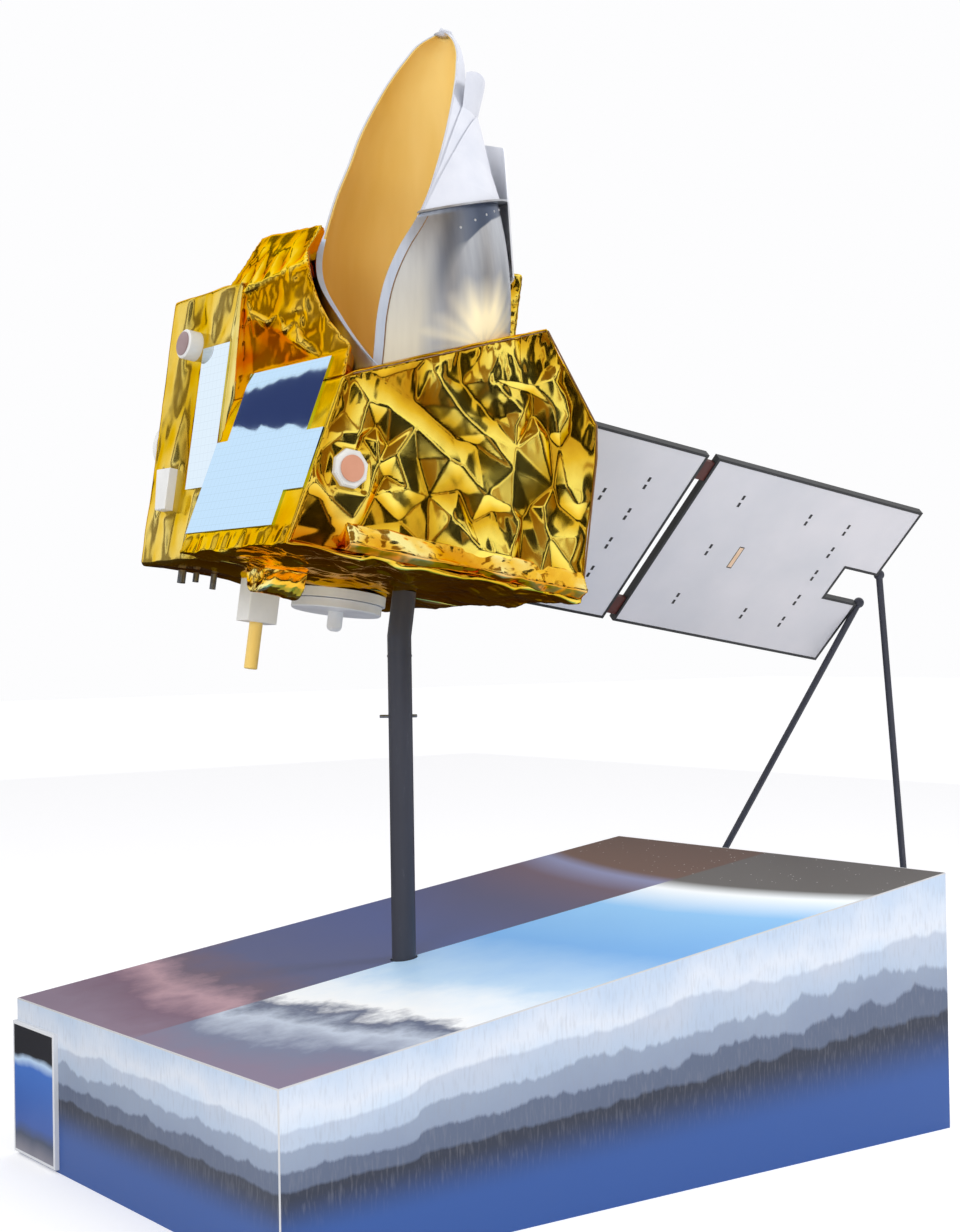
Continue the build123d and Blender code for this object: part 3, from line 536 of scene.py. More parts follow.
def facets(points, cell, seed):
    """Random heights joined by flat facets with straight creases, from -1 to 1."""
    turn, _ = np.linalg.qr(np.random.RandomState(seed).normal(size=(3, 3)))
    place = points @ turn / np.asarray(cell, float)
    corner = np.floor(place).astype(np.int64)
    part = place - corner
    order = np.argsort(-part, axis=1)
    ranked = np.take_along_axis(part, order, 1)
    weights = -np.diff(np.column_stack((np.ones(len(points)), ranked, np.zeros(len(points)))), axis=1)
    height = weights[:, 0] * lattice_height(corner, seed)
    rows = np.arange(len(points))
    for step in range(3):
        corner[rows, order[:, step]] += 1
        height += weights[:, step + 1] * lattice_height(corner, seed)
    return height


def crumple(points, cell, seed):
    """Crumpled film: large facets with bent creases, with smaller ones on them."""
    bend = np.column_stack([facets(points, cell * 1.6, seed + k) for k in (1, 2, 3)]) * cell * 0.4
    longer = np.array((1.7, 0.8, 1.0))
    large = facets(points + bend, cell * longer, seed + 4)
    middle = facets(points + bend, cell * 0.42 * longer, seed + 5)
    small = facets(points, cell * 0.18 * longer, seed + 6)
    return large + 0.3 * (middle + 0.3 * small)


def fade(distance, reach):
    """1 at no distance, falling smoothly to 0 at the reach."""
    near = np.clip(1 - distance / reach, 0, 1)
    return near * near * (3 - 2 * near)


def blanket_shell(node, voxel):
    """A node's solid as an even net of points, in the satellite's frame: points, normals, faces."""
    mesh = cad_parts[node].data.copy()
    places = in_satellite([v.co for v in mesh.vertices])
    mesh.vertices.foreach_set("co", places.ravel())
    mesh.update()
    holder = bpy.data.objects.new("shell_form", mesh)
    bpy.context.scene.collection.objects.link(holder)
    net = holder.modifiers.new("net", "REMESH")
    net.mode = "VOXEL"
    net.voxel_size = voxel
    net.use_smooth_shade = True
    bpy.context.view_layer.update()
    made = bpy.data.meshes.new_from_object(holder.evaluated_get(bpy.context.evaluated_depsgraph_get()))
    points = np.array([v.co for v in made.vertices])
    normals = np.array([v.normal for v in made.vertices])
    faces = [tuple(f.vertices) for f in made.polygons]
    bpy.data.objects.remove(holder)
    bpy.data.meshes.remove(made)
    bpy.data.meshes.remove(mesh)
    return points, normals, faces


def node_box(node):
    """A node's lowest and highest corners in the satellite's frame."""
    places = in_satellite([v.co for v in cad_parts[node].data.vertices])
    return places.min(0), places.max(0)


def fitting_room(points, nodes, reach):
    """0 under a fitting and 1 further off than the reach, so that the film lies flat under it."""
    room = np.ones(len(points))
    for node in nodes:
        low, high = node_box(node)
        away = np.maximum(np.maximum(low - points, points - high), 0)
        room = np.minimum(room, np.clip(np.linalg.norm(away, axis=1) / reach, 0, 1))
    return room


def facet_net(knots, levels, places):
    """Heights at places on flat facets that join chosen knots, with straight creases between."""
    corners, _, triangles, origins, _, _ = delaunay_2d_cdt([Vector(k) for k in knots], [], [], 0, 1e-6)
    corners = np.array([tuple(corner) for corner in corners])
    levels = np.array([levels[origin[0]] for origin in origins])
    heights = np.zeros(len(places))
    for triangle in triangles:
        triangle = list(triangle)
        first, second, third = corners[triangle]
        part = (places - first) @ np.linalg.inv(np.column_stack((second - first, third - first))).T
        inside = (part.min(1) >= 0) & (part.sum(1) <= 1)
        shares = np.column_stack((1 - part.sum(1), part))
        heights[inside] = shares[inside] @ levels[triangle]
    return heights


# The front body's outline, along and up: its upper edge climbs from the deck's low end to the peak
# and falls to the wing's side; the leaning block is lower
DECK_LOW = (-0.464, 0.526)
DECK_SLOPE = 0.4283
PEAK = (0.052, 0.747)
END_FALL = 1.088
BLOCK_TOP = 0.51
WING_SIDE = 0.245

# Stars of folds on the front face: centre, reach, number of folds, height of the centre
STARS = (
    ((-0.452, 0.304), 0.120, 11, 0.0),
    ((-0.012, 0.388), 0.150, 8, 0.014),
    ((0.118, 0.250), 0.110, 7, 0.011),
    ((-0.290, 0.490), 0.130, 6, -0.010),
    ((0.085, 0.565), 0.080, 7, 0.010),
    ((-0.215, 0.165), 0.130, 6, -0.010),
)
STAR_DEPTH = 0.010
KNOT_HEIGHT = 0.013
SLANT = radians(-38)
LENGTHENED = 1.9
KNOT_SPACING = 0.04
KNOT_TRIES = 900


def star_knots():
    """Knots of the front face: stars whose points rise and sink in turn, and loose ones between,
    further apart along the slant."""
    chance = np.random.RandomState(61)
    knots, levels = [], []
    for centre, reach, count, level in STARS:
        knots.append(centre)
        levels.append(level)
        start = chance.uniform(0, 2 * pi)
        for step in range(2 * count):
            angle = start + pi * (step + chance.uniform(-0.3, 0.3)) / count
            away = reach * chance.uniform(0.6, 1.15)
            knots.append((centre[0] + away * cos(angle), centre[1] + away * sin(angle)))
            levels.append(STAR_DEPTH * (1 if step % 2 else -1) * chance.uniform(0.5, 1.0))
    for _ in range(KNOT_TRIES):
        knot = np.array((chance.uniform(-0.8, 0.4), chance.uniform(-0.1, 0.85)))
        gaps = knot - np.array(knots)
        run = (gaps[:, 0] * cos(SLANT) + gaps[:, 1] * sin(SLANT)) / LENGTHENED
        rise = gaps[:, 1] * cos(SLANT) - gaps[:, 0] * sin(SLANT)
        if np.hypot(run, rise).min() > KNOT_SPACING:
            knots.append(tuple(knot))
            levels.append(chance.uniform(-KNOT_HEIGHT, KNOT_HEIGHT))
    return knots, levels


def front_edge_height(a):
    """Height of the front blanket's upper edge, along its length."""
    climb = DECK_LOW[1] + (a - DECK_LOW[0]) * DECK_SLOPE
    fall = PEAK[1] - (a - PEAK[0]) * END_FALL
    return np.where(a < DECK_LOW[0], BLOCK_TOP, np.minimum(climb, fall))


# Where the front blanket is drawn in under the block: its right end and its top
DRAWN_IN = (-0.38, 0.185)


def front_body_heights(points, normals):
    """How far the front blanket stands out or sinks in, place by place."""
    a, b, c = points.T
    front, block, deck, under, end = (
        np.clip(normals @ np.array(way), 0, 1) ** 2
        for way in ((0, -1, 0), (-1, 0, 0), (0, 0, 1), (0, 0, -1), (1, 0, 0))
    )
    block = block * (c < BLOCK_TOP)
    broad = facet_net(*star_knots(), points[:, [0, 2]])
    fine = facets(points, 0.034, 23) * np.clip(0.5 + facets(points, 0.16, 31), 0, 1)
    below = np.abs(front_edge_height(a) - c)
    # tucks 28 mm wide hang 130 mm down from the upper edge
    tucks = facets(np.column_stack((a, b, c * 0.22)), 0.028, 37) * fade(below, 0.13)
    # the folds are calm along the upper edge and the wing's side
    sloping = (PEAK[1] - (a - PEAK[0]) * END_FALL - c) * 0.68
    right_edge = np.minimum(WING_SIDE - a, sloping)
    calm = (1 - 0.7 * fade(below, 0.03)) * (1 - 0.8 * fade(right_edge, 0.05))
    # the lower left corner is drawn in under the block
    left = np.clip((DRAWN_IN[0] - a) / 0.08, 0, 1)
    corner = left * np.clip((DRAWN_IN[1] + 0.005 - c) / 0.03, 0, 1)
    drawn_in = -0.2 * np.clip(DRAWN_IN[1] - c, 0, 0.08) * left
    heights = front * (broad * calm * (1 - 0.6 * corner) + drawn_in + 0.0028 * fine + 0.0055 * tucks)
    heights *= fitting_room(points, ("front_antenna",), 0.01)
    upright = facets(points * np.array((1, 1, 0.3)), 0.03, 29)
    heights += block * 0.004 * upright * fitting_room(points, ("front_radiator",), 0.012)
    rough = crumple(points, 0.07, 53)
    heights += deck * 0.004 * fine + under * 0.010 * rough + end * 0.004 * rough
    return heights


def rear_body_heights(points, normals):
    """The rear blanket: broad soft folds, flat under its fittings."""
    upright = points * np.array((1, 1, 0.42))
    heights = 0.009 * facets(upright, 0.1, 71) + 0.0015 * facets(upright, 0.04, 77)
    heights *= np.abs(normals).max(1) ** 6
    fittings = ("side_radiator", "side_antenna", "side_cover", "back_cover")
    return heights * fitting_room(points, fittings, 0.02)


# Folds of the housing's side. A fan of folds leaves the crown's left end, a hem follows the brow,
# and one crease crosses the side below it. Places are to the back and up, then the height.
FAN_CENTRE = (0.106, 0.900, 0.005)
FAN_ENDS = (0.165, 0.128, 0.092, 0.066, 0.038, -0.002, -0.043, -0.085, -0.125, -0.165, -0.21)
FAN_DEPTH = 0.0045
FAN_FOOT = 0.035
HEM_START = 0.786
HEM_SLOPE = -0.12
HEM_HEIGHT = 0.006
CREASE_PLACE = (0.067, 0.722)
CREASE_SLOPE = 0.44
CREASE_STEP = 0.08
# The crease's section: how far off, and height
CREASE_SECTION = ((0.0, 0.006), (0.014, -0.001), (-0.012, -0.003))
CREASE_CLEARANCE = 0.03
HOUSING_SPACING = 0.034
HOUSING_TRIES = 400
# Groups of level ripples, and how far each reaches to the side and up
RIPPLES = ((-0.168, 0.770), (-0.175, 0.697), (-0.194, 0.631), (-0.105, 0.655))
RIPPLE_REACH = (0.05, 0.02)
# The crown's height, near which the folds are calm
CROWN = 0.92


def crease_at(b):
    """Height of the crease that crosses the housing's side."""
    return CREASE_PLACE[1] + CREASE_SLOPE * (b - CREASE_PLACE[0])


def hem_at(b):
    """Height of the hem along the housing's brow."""
    return HEM_START + HEM_SLOPE * b


def housing_knots():
    """Knots of the housing's side: places to the back and up, and their heights."""
    chance = np.random.RandomState(83)
    knots = [FAN_CENTRE]
    for step, b in enumerate(FAN_ENDS):
        knots.append((b, hem_at(b) + FAN_FOOT, FAN_DEPTH * (1 if step % 2 else -1)))
        knots.append((b + 0.01, hem_at(b), HEM_HEIGHT * chance.uniform(0.6, 1.0)))
        knots.append((b, hem_at(b) - 0.012, -0.001))
    for b in np.arange(-0.26, 0.15, CREASE_STEP):
        wobble = chance.uniform(-0.006, 0.006)
        for off, height in CREASE_SECTION:
            knots.append((b - off * CREASE_SLOPE, crease_at(b) + wobble + off, height))
    for _ in range(HOUSING_TRIES):
        b, c = chance.uniform(-0.3, 0.25), chance.uniform(0.45, 1.0)
        clear = min(np.hypot(b - knot[0], c - knot[1]) for knot in knots) > HOUSING_SPACING
        if clear and abs(c - crease_at(b)) > CREASE_CLEARANCE:
            reach = 0.002 if c < hem_at(b) else 0.004
            knots.append((b, c, chance.uniform(-reach, reach)))
    return [knot[:2] for knot in knots], [knot[2] for knot in knots]


def housing_heights(points, normals):
    """The housing's blanket: chosen folds and groups of level ripples on its side, and flat where
    the drum stands near."""
    _, b, c = points.T
    side = np.clip(-normals[:, 0], 0, 1) ** 2
    folds = facet_net(*housing_knots(), points[:, [1, 2]])
    ripple = facets(points * np.array((1, 0.3, 1)), 0.016, 89)
    fine = facets(points, 0.022, 99) * np.clip(0.4 + facets(points, 0.1, 103), 0, 1)
    rippled = sum(
        np.exp(-(((b - place[0]) / RIPPLE_REACH[0]) ** 2) - ((c - place[1]) / RIPPLE_REACH[1]) ** 2)
        for place in RIPPLES
    )
    rough = facets(points, 0.12, 91) + 0.4 * facets(points, 0.055, 93)
    heights = side * (folds + 0.005 * ripple * np.clip(rippled, 0, 1) + 0.002 * fine)
    heights += (1 - side) * 0.006 * rough
    away = np.linalg.norm(points[:, :2] - BAFFLE_AXIS, axis=1) - DRUM_CLEARANCE
    heights *= np.clip(away / 0.03, 0.1, 1) * (1 - 0.7 * fade(np.abs(c - CROWN), 0.04))
    return heights * fitting_room(points, ("front_radiator",), 0.03)


def tight_heights(cell, height, seed):
    """A small blanket's even crumpling."""
    return lambda points, normals: height * crumple(points, cell, seed)


def spot(points, centre, reach):
    """1 at a place, falling away over the reach."""
    return np.exp(-((np.linalg.norm(points - np.array(centre), axis=1) / reach) ** 2))


def front_painted_amber(points):
    """Painted amber reflection in the front blanket's lower left corner, and painted amber shade on its
    underside.
    """
    under = np.clip((0.1 - points[:, 2]) / 0.02, 0, 1) * 0.6
    return np.maximum(under, 0.45 * spot(points, (-0.50, -0.41, 0.13), 0.10))


def housing_painted_shade(points):
    """Painted deep amber shade under the crease on the housing's side, painted brown-gold shade above it,
    none on the brow.
    """
    _, b, c = points.T
    waver = 0.012 * facets(points, 0.03, 95)
    under = np.clip((crease_at(b) - 0.004 - c + waver) / 0.006, 0, 1) * np.clip((0.135 - b) / 0.01, 0, 1)
    above = np.clip((hem_at(b) - c) / 0.01, 0, 1) * 0.3
    # it thins to the right and down beside the mirror
    under *= np.clip((b + 0.24) / 0.05, 0.3, 1) * np.clip((c - 0.56) / 0.02, 0.2, 1)
    return np.maximum(under * (0.85 + 0.3 * facets(points, 0.04, 107)), above)


def fold_painted_shade(points):
    """Painted amber shade on the fold's lower side."""
    return np.clip((0.146 - points[:, 2]) / 0.016, 0, 1) * 0.85


def no_painted_amber(points):
    """No painted amber anywhere."""
    return np.zeros(len(points))


# A blanket: name, node, size of its net, heights, painted amber reflection and shade, finish
BLANKETS = (
    ("front_blanket", "front_body", 0.005, front_body_heights, front_painted_amber, film),
    ("rear_blanket", "rear_body", 0.0065, rear_body_heights, no_painted_amber, sky_painted_film),
    ("housing_blanket", "instrument_housing", 0.005, housing_heights, housing_painted_shade, film),
    ("tower_blanket", "foil_tower", 0.004, tight_heights(0.024, 0.004, 101), no_painted_amber, film),
    ("fold_blanket", "lower_fold", 0.004, tight_heights(0.06, 0.007, 131), fold_painted_shade, warm_painted_film),
    ("pouch_blanket", "foil_pouch", 0.004, tight_heights(0.03, 0.004, 151), no_painted_amber, warm_painted_film),
)
for blanket, node, voxel, heights, painted_amber, finish in BLANKETS:
    points, normals, faces = blanket_shell(node, voxel)
    height = heights(points, normals)
    # the fold's height, kept for the film's painted shade in valleys and painted highlight on ridges
    lift = np.clip(0.5 + height / (2 * np.abs(height).max()), 0, 1)
    piece(
        blanket,
        in_scene(points + normals * height[:, None]),
        faces,
        finish,
        (node,),
        values={"fold_height": lift, "painted_amber": painted_amber(points)},
    )


# The baffle's rings: height, how far the centre has moved sideways, outer radius
RINGS = np.array(
    (
        (0.520, 0.000, 0.239),
        (0.760, -0.007, 0.238),
        (0.870, -0.017, 0.235),
        (0.960, -0.026, 0.224),
        (1.050, -0.034, 0.204),
        (1.130, -0.042, 0.177),
        (1.210, -0.047, 0.154),
        (1.285, -0.047, 0.127),
        (1.350, -0.044, 0.100),
        (1.405, -0.032, 0.077),
        (1.450, -0.022, 0.050),
        (1.479, -0.011, 0.017),
    )
)
SIDE_TURN = radians(36)
ACROSS = np.array((cos(SIDE_TURN), -sin(SIDE_TURN)))
SHEET = 0.004

# The open side's two lips: height and place, across for the near one, in depth for the far one
NEAR_LIP = np.array(
    (
        (0.500, -0.072),
        (0.620, -0.073),
        (0.699, -0.075),
        (0.780, -0.067),
        (0.862, -0.043),
        (0.930, -0.014),
        (1.002, 0.006),
        (1.090, 0.019),
        (1.182, 0.028),
        (1.300, 0.033),
        (1.380, 0.031),
        (1.430, 0.024),
        (1.458, 0.009),
        (1.470, -0.006),
        (1.474, -0.014),
    )
)
FAR_LIP = np.array(
    (
        (0.500, -0.245),
        (0.560, -0.236),
        (0.698, -0.171),
        (0.835, -0.052),
        (0.950, 0.018),
        (1.070, 0.034),
        (1.200, 0.038),
        (1.397, 0.021),
        (1.490, -0.004),
    )
)
LIP_TOP = 1.474


def along(rows, height):
    """The values of a table's columns at a height, on a smooth curve through its rows."""
    heights = rows[:, 0]
    slopes = np.gradient(rows[:, 1:], heights, axis=0)
    row = np.clip(np.searchsorted(heights, height) - 1, 0, len(heights) - 2)
    span = (heights[row + 1] - heights[row])[:, None]
    t = np.clip((height - heights[row])[:, None] / span, 0, 1)
    low, high = rows[row, 1:], rows[row + 1, 1:]
    shape = (2 * t**3 - 3 * t**2 + 1) * low + (t**3 - 2 * t**2 + t) * span * slopes[row]
    return shape + (3 * t**2 - 2 * t**3) * high + (t**3 - t**2) * span * slopes[row + 1]


def ring_at(height):
    """Centre and radius of the baffle at a height."""
    shift, radius = along(RINGS, height).T
    return BAFFLE_AXIS + shift[:, None] * ACROSS, radius


def lip_turns(height):
    """The turns, from the across direction, at which a sheet starts and ends."""
    shift, radius = along(RINGS, height).T
    near = -np.arccos(np.clip((along(NEAR_LIP, height)[:, 0] - shift) / radius, -1, 1))
    far = pi - np.arcsin(np.clip(along(FAR_LIP, height)[:, 0] / radius, -1, 1))
    return near, far


def on_baffle(height, turn, proud):
    """Points of the baffle at heights and turns, out from its outer face."""
    centre, radius = ring_at(height)
    a = centre[:, 0] + (radius + proud) * np.cos(turn - SIDE_TURN)
    b = centre[:, 1] + (radius + proud) * np.sin(turn - SIDE_TURN)
    return np.column_stack((a, b, height))


def baffle_sheet(foot, head, rows, columns, inset):
    """A grid of points on the baffle, from the foot's height to the head's: points and turns."""
    across = np.linspace(0, 1, columns)[None, :].repeat(rows, 0).ravel()
    up = np.linspace(0, 1, rows)[:, None].repeat(columns, 1).ravel()
    height = foot(np.full_like(up, -0.2)) * (1 - up) + head(np.full_like(up, -0.2)) * up
    for _ in range(12):
        near, far = lip_turns(height)
        turn = near + across * (far - near)
        a = on_baffle(height, turn, -inset)[:, 0]
        height = 0.5 * height + 0.5 * (foot(a) * (1 - up) + head(a) * up)
    return on_baffle(height, turn, -inset), turn


def shell(outer, inner, rows, columns):
    """Faces that join an outer and an inner grid into a closed sheet."""
    count = rows * columns
    faces = []
    for row in range(rows - 1):
        for column in range(columns - 1):
            first = row * columns + column
            quad = (first, first + 1, first + columns + 1, first + columns)
            faces.append(quad)
            faces.append(tuple(count + i for i in reversed(quad)))
    rim = list(range(columns))
    rim += [row * columns + columns - 1 for row in range(1, rows)]
    rim += [(rows - 1) * columns + column for column in range(columns - 2, -1, -1)]
    rim += [row * columns for row in range(rows - 2, 0, -1)]
    for here, there in zip(rim, rim[1:] + rim[:1]):
        faces.append((there, here, count + here, count + there))
    return np.vstack((outer, inner)), faces


FLANGE_PLACE = (-0.281, 0.955)
FLANGE_SLOPE = radians(22.5)
FLANGE_THICKNESS = 0.005


def deck_at(a):
    """Height of the deck, along the body."""
    return DECK_LOW[1] + (np.clip(a, -0.52, PEAK[0]) - DECK_LOW[0]) * DECK_SLOPE


def flange_at(a):
    """Height of the flange's lower face, along the body."""
    return FLANGE_PLACE[1] + (a - FLANGE_PLACE[0]) * np.tan(FLANGE_SLOPE)


def above_flange(a):
    """Height of the flange's upper face, along the body."""
    return flange_at(a) + FLANGE_THICKNESS


def tip_at(a):
    """Height at which the sheets end, just under the scoop's closed top."""
    return np.full_like(a, LIP_TOP - 0.0005)


# The drum's painted dark reflection under the flange, at turns in degrees: how far below the flange it ends,
# and its strength
DARK_REFLECTION_TURNS = (-75, -67, -62, -54, -45, -32, -4, 10)
DARK_REFLECTION_DEPTHS = (0.2, 0.135, 0.110, 0.087, 0.065, 0.045, 0.029, 0.028)
DARK_REFLECTION_STRENGTHS = (0.0, 0.28, 0.5, 0.8, 0.95, 1.0, 1.0, 1.0)


def drum_painted_light(points, turn):
    """Where the drum carries a painted dark reflection under the flange, and where a painted warm glow."""
    degrees = np.degrees(turn)
    below = flange_at(points[:, 0]) - points[:, 2]
    depth = np.interp(degrees, DARK_REFLECTION_TURNS, DARK_REFLECTION_DEPTHS)
    edge = np.interp(degrees, (-70, -55), (0.08, 0.004))
    band = np.clip((depth - below) / edge + 0.5, 0, 1)
    painted_dark_reflection = band * np.interp(degrees, DARK_REFLECTION_TURNS, DARK_REFLECTION_STRENGTHS) * (degrees < 60)
    # a painted dark streak of reflection runs down from the flange
    streak = np.exp(-(((degrees + 66 + below * 40) / 7) ** 2)) * fade(np.abs(below - 0.12), 0.2)
    # the painted warm glow, light reflected off the foil, lies in a fan of streaks over the foot's right part
    low = (below - 0.3) / 0.1
    side = (degrees + 42) / 30
    ray = 0.1 * np.sin(9 * np.arctan2(low - 0.6, side)) + 0.08 * np.sin(23 * np.arctan2(low - 0.6, side))
    painted_glow = np.clip(1.25 + ray - np.hypot(low, side), 0, 1)
    # painted reflection: the side beside the lip takes up the colour of the liner and the deck
    beside = np.clip((-72 - degrees) / 12, 0, 1) * np.clip(below / 0.3, 0, 1)
    return {
        "painted_dark_reflection": np.clip(painted_dark_reflection + 0.45 * streak + 0.25 * beside, 0, 1),
        "painted_warm_glow": np.clip(painted_glow + 0.5 * beside, 0, 1),
    }


# A sheet: name, foot, head, how far inside the outer face, finish, slot, node, rows, columns
SHEETS = (
    ("drum_sheet", deck_at, flange_at, 0.0, silver_sheet, "silver_sheet", "baffle_drum", 110, 240),
    ("liner_sheet", deck_at, tip_at, 0.0043, gold_sheet, "gold_sheet", "baffle_liner", 120, 120),
    ("skin_sheet", above_flange, tip_at, 0.0, white_sheet, "white_sheet", "baffle_skin", 100, 120),
)
for name, foot, head, inset, finish, slot, node, rows, columns in SHEETS:
    outer, turn = baffle_sheet(foot, head, rows, columns, inset)
    inner, _ = baffle_sheet(foot, head, rows, columns, inset + SHEET)
    points, faces = shell(outer, inner, rows, columns)
    values = None
    if node == "baffle_drum":
        painted_light_values = drum_painted_light(outer, turn)
        values = {label: np.concatenate((numbers, numbers)) for label, numbers in painted_light_values.items()}
    piece(name, in_scene(points), faces, finish, (node,), values=values)


def swept(corners):
    """Faces of a bar whose section has four corners, from rows of points."""
    rows = len(corners)
    faces = [
        (4 * row + side, 4 * row + (side + 1) % 4, 4 * row + 4 + (side + 1) % 4, 4 * row + 4 + side)
        for row in range(rows - 1)
        for side in range(4)
    ]
    faces += [(3, 2, 1, 0), tuple(4 * rows - 4 + side for side in range(4))]
    return np.reshape(corners, (-1, 3)), faces


def lip_strip(name, far_side, foot, head, proud, width, finish, slot):
    """A strip along a lip: how far it stands proud, low and high, and how far it reaches out
    of the edge, low and high."""
    height = np.linspace(foot, head, 90)
    turn = lip_turns(height)[1 if far_side else 0]
    radius = along(RINGS, height)[:, 1]
    outward = 1 if far_side else -1
    low, high = proud
    near, far = width
    section = ((low, near), (high, near), (high, far), (low, far))
    corners = [on_baffle(height, turn + outward * reach / radius, out) for out, reach in section]
    points, faces = swept(np.stack(corners, axis=1))
    piece(name, in_scene(points), faces, finish, smooth=False)


# A lip strip: name, far side, foot, head, proud low and high, reach low and high, finish, slot
LIP_STRIPS = (
    ("near_rim_strip", False, 0.565, 0.944, (-0.001, 0.0018), (-0.021, 0.0), lip_sheet, "silver_sheet"),
    ("near_rim_seam", False, 0.565, 0.944, (-0.001, 0.0024), (-0.0232, -0.021), seam_tape, "silver_sheet"),
    ("near_drum_edge", False, 0.565, 0.944, (-0.0095, 0.0018), (0.0, 0.0015), lip_sheet, "silver_sheet"),
    ("far_drum_edge", True, 0.560, 0.930, (-0.0095, 0.0055), (0.0, 0.0025), lip_painted_reflection, "silver_sheet"),
    ("near_scoop_edge", False, 0.956, 1.472, (-0.0042, 0.0006), (0.0, 0.0012), white_sheet, "white_sheet"),
    ("far_scoop_edge", True, 0.930, 1.472, (-0.0042, 0.0006), (0.0, 0.0012), white_sheet, "white_sheet"),
)
for strip in LIP_STRIPS:
    lip_strip(*strip)

# A seam of brown tape round the front blanket's upper edge: along and up
SEAM_PATH = ((-0.470, 0.517), (0.050, 0.7395), (0.2285, 0.546), (0.2395, 0.468), (0.2395, 0.135))
SEAM_BACK = -0.41
SEAM_FACE = -0.4145
SEAM_STEPS = 24


def front_seam():
    """The seam as a thin bar: its width lies upward to the peak, and sideways past it."""
    rows = []
    for place, following in zip(SEAM_PATH, SEAM_PATH[1:]):
        for share in np.linspace(0, 1, SEAM_STEPS, endpoint=False):
            rows.append((1 - share) * np.array(place) + share * np.array(following))
    rows.append(np.array(SEAM_PATH[-1]))
    corners = []
    for place in rows:
        width = np.array((0.0, 0.0024)) if place[0] < SEAM_PATH[1][0] else np.array((0.0022, 0.0))
        low, high = place - width / 2, place + width / 2
        section = ((low, SEAM_BACK), (low, SEAM_FACE), (high, SEAM_FACE), (high, SEAM_BACK))
        corners.append([(end[0], b, end[1]) for end, b in section])
    points, faces = swept(np.array(corners))
    piece("front_seam", in_scene(points), faces, seam_tape, smooth=False)


front_seam()

# The scoop's closed top: height and share of the sheet's radius there
TOP_ROWS = ((1.4725, 1.02), (1.4765, 1.02), (1.479, 0.9), (1.480, 0.5))
TOP_SIDES = 24


def ring_quads(first, rows, sides):
    """Faces between rings of points, each ring after the one before."""
    quads = []
    for row in range(rows - 1):
        for step in range(sides):
            here = first + row * sides + step
            there = first + row * sides + (step + 1) % sides
            quads.append((here, there, there + sides, here + sides))
    return quads


def scoop_top():
    """A small dome that closes the scoop."""
    points = []
    for height, share in TOP_ROWS:
        centre, radius = ring_at(np.array((min(height, RINGS[-1, 0]),)))
        reach = radius[0] * share
        for step in range(TOP_SIDES):
            turn = 2 * pi * step / TOP_SIDES
            points.append((centre[0, 0] + reach * cos(turn), centre[0, 1] + reach * sin(turn), height))
    faces = ring_quads(0, len(TOP_ROWS), TOP_SIDES)
    faces.append(tuple(reversed(range(TOP_SIDES))))
    faces.append(tuple(range((len(TOP_ROWS) - 1) * TOP_SIDES, len(TOP_ROWS) * TOP_SIDES)))
    piece("scoop_top", in_scene(points), faces, white_sheet)


scoop_top()

# Rivets under the flange: domes 7 mm across, in three rings. A ring: height and share of the radius.
RIVET_TURNS = np.radians(np.arange(-60, 61, 11.5))
RIVET_RADIUS = 0.0035
RIVET_RINGS = ((-0.0005, 1.0), (0.0008, 0.9), (0.0015, 0.55))
RIVET_SIDES = 10
RIVET_DROP = 0.016
RIVET_SAG = 0.0105e-3


def drum_rivets():
    """The row of rivets on the drum, a little lower towards its ends."""
    points, faces = [], []
    for turn in RIVET_TURNS:
        below = RIVET_DROP + RIVET_SAG * np.degrees(turn) ** 2
        height = np.array((1.0,))
        for _ in range(12):
            place = on_baffle(height, np.array((turn,)), 0.0)
            height = flange_at(place[:, 0]) - below
        out = np.array((cos(turn - SIDE_TURN), sin(turn - SIDE_TURN), 0))
        sideways = np.array((-out[1], out[0], 0))
        first = len(points)
        for level, share in RIVET_RINGS:
            for step in range(RIVET_SIDES):
                angle = 2 * pi * step / RIVET_SIDES
                spoke = cos(angle) * sideways + sin(angle) * np.array((0, 0, 1))
                points.append(place[0] + out * level + spoke * RIVET_RADIUS * share)
        faces += ring_quads(first, len(RIVET_RINGS), RIVET_SIDES)
        last = first + (len(RIVET_RINGS) - 1) * RIVET_SIDES
        faces.append(tuple(last + step for step in range(RIVET_SIDES)))
        faces.append(tuple(first + step for step in reversed(range(RIVET_SIDES))))
    piece("drum_rivets", in_scene(points), faces, rivet_metal)


drum_rivets()

# The wing's marks on its white face: clips in pairs and one tag. Places: along, up the chord.
WING_HEIGHT = 0.4
CLIP_PAIRS = (
    (1.006, -0.166),
    (1.274, -0.161),
    (1.433, -0.159),
    (1.433, -0.075),
    (1.433, 0.012),
    (1.433, 0.107),
    (1.433, 0.192),
    (1.274, 0.191),
    (1.006, 0.188),
    (1.006, 0.008),
    (0.669, -0.149),
    (0.669, -0.043),
    (0.669, 0.058),
    (0.669, 0.159),
    (0.553, -0.085),
)
CLIP_SIZE = (0.009, 0.015)
CLIP_SPACING = 0.0125
TAG_PLACE = (1.114, 0.013)


def wing_point(a, chord, proud):
    """A point on the wing's white face, in the satellite's frame."""
    return np.array(
        (
            a,
            chord * cos(WING_TILT) - proud * sin(WING_TILT),
            WING_HEIGHT - chord * sin(WING_TILT) - proud * cos(WING_TILT),
        )
    )


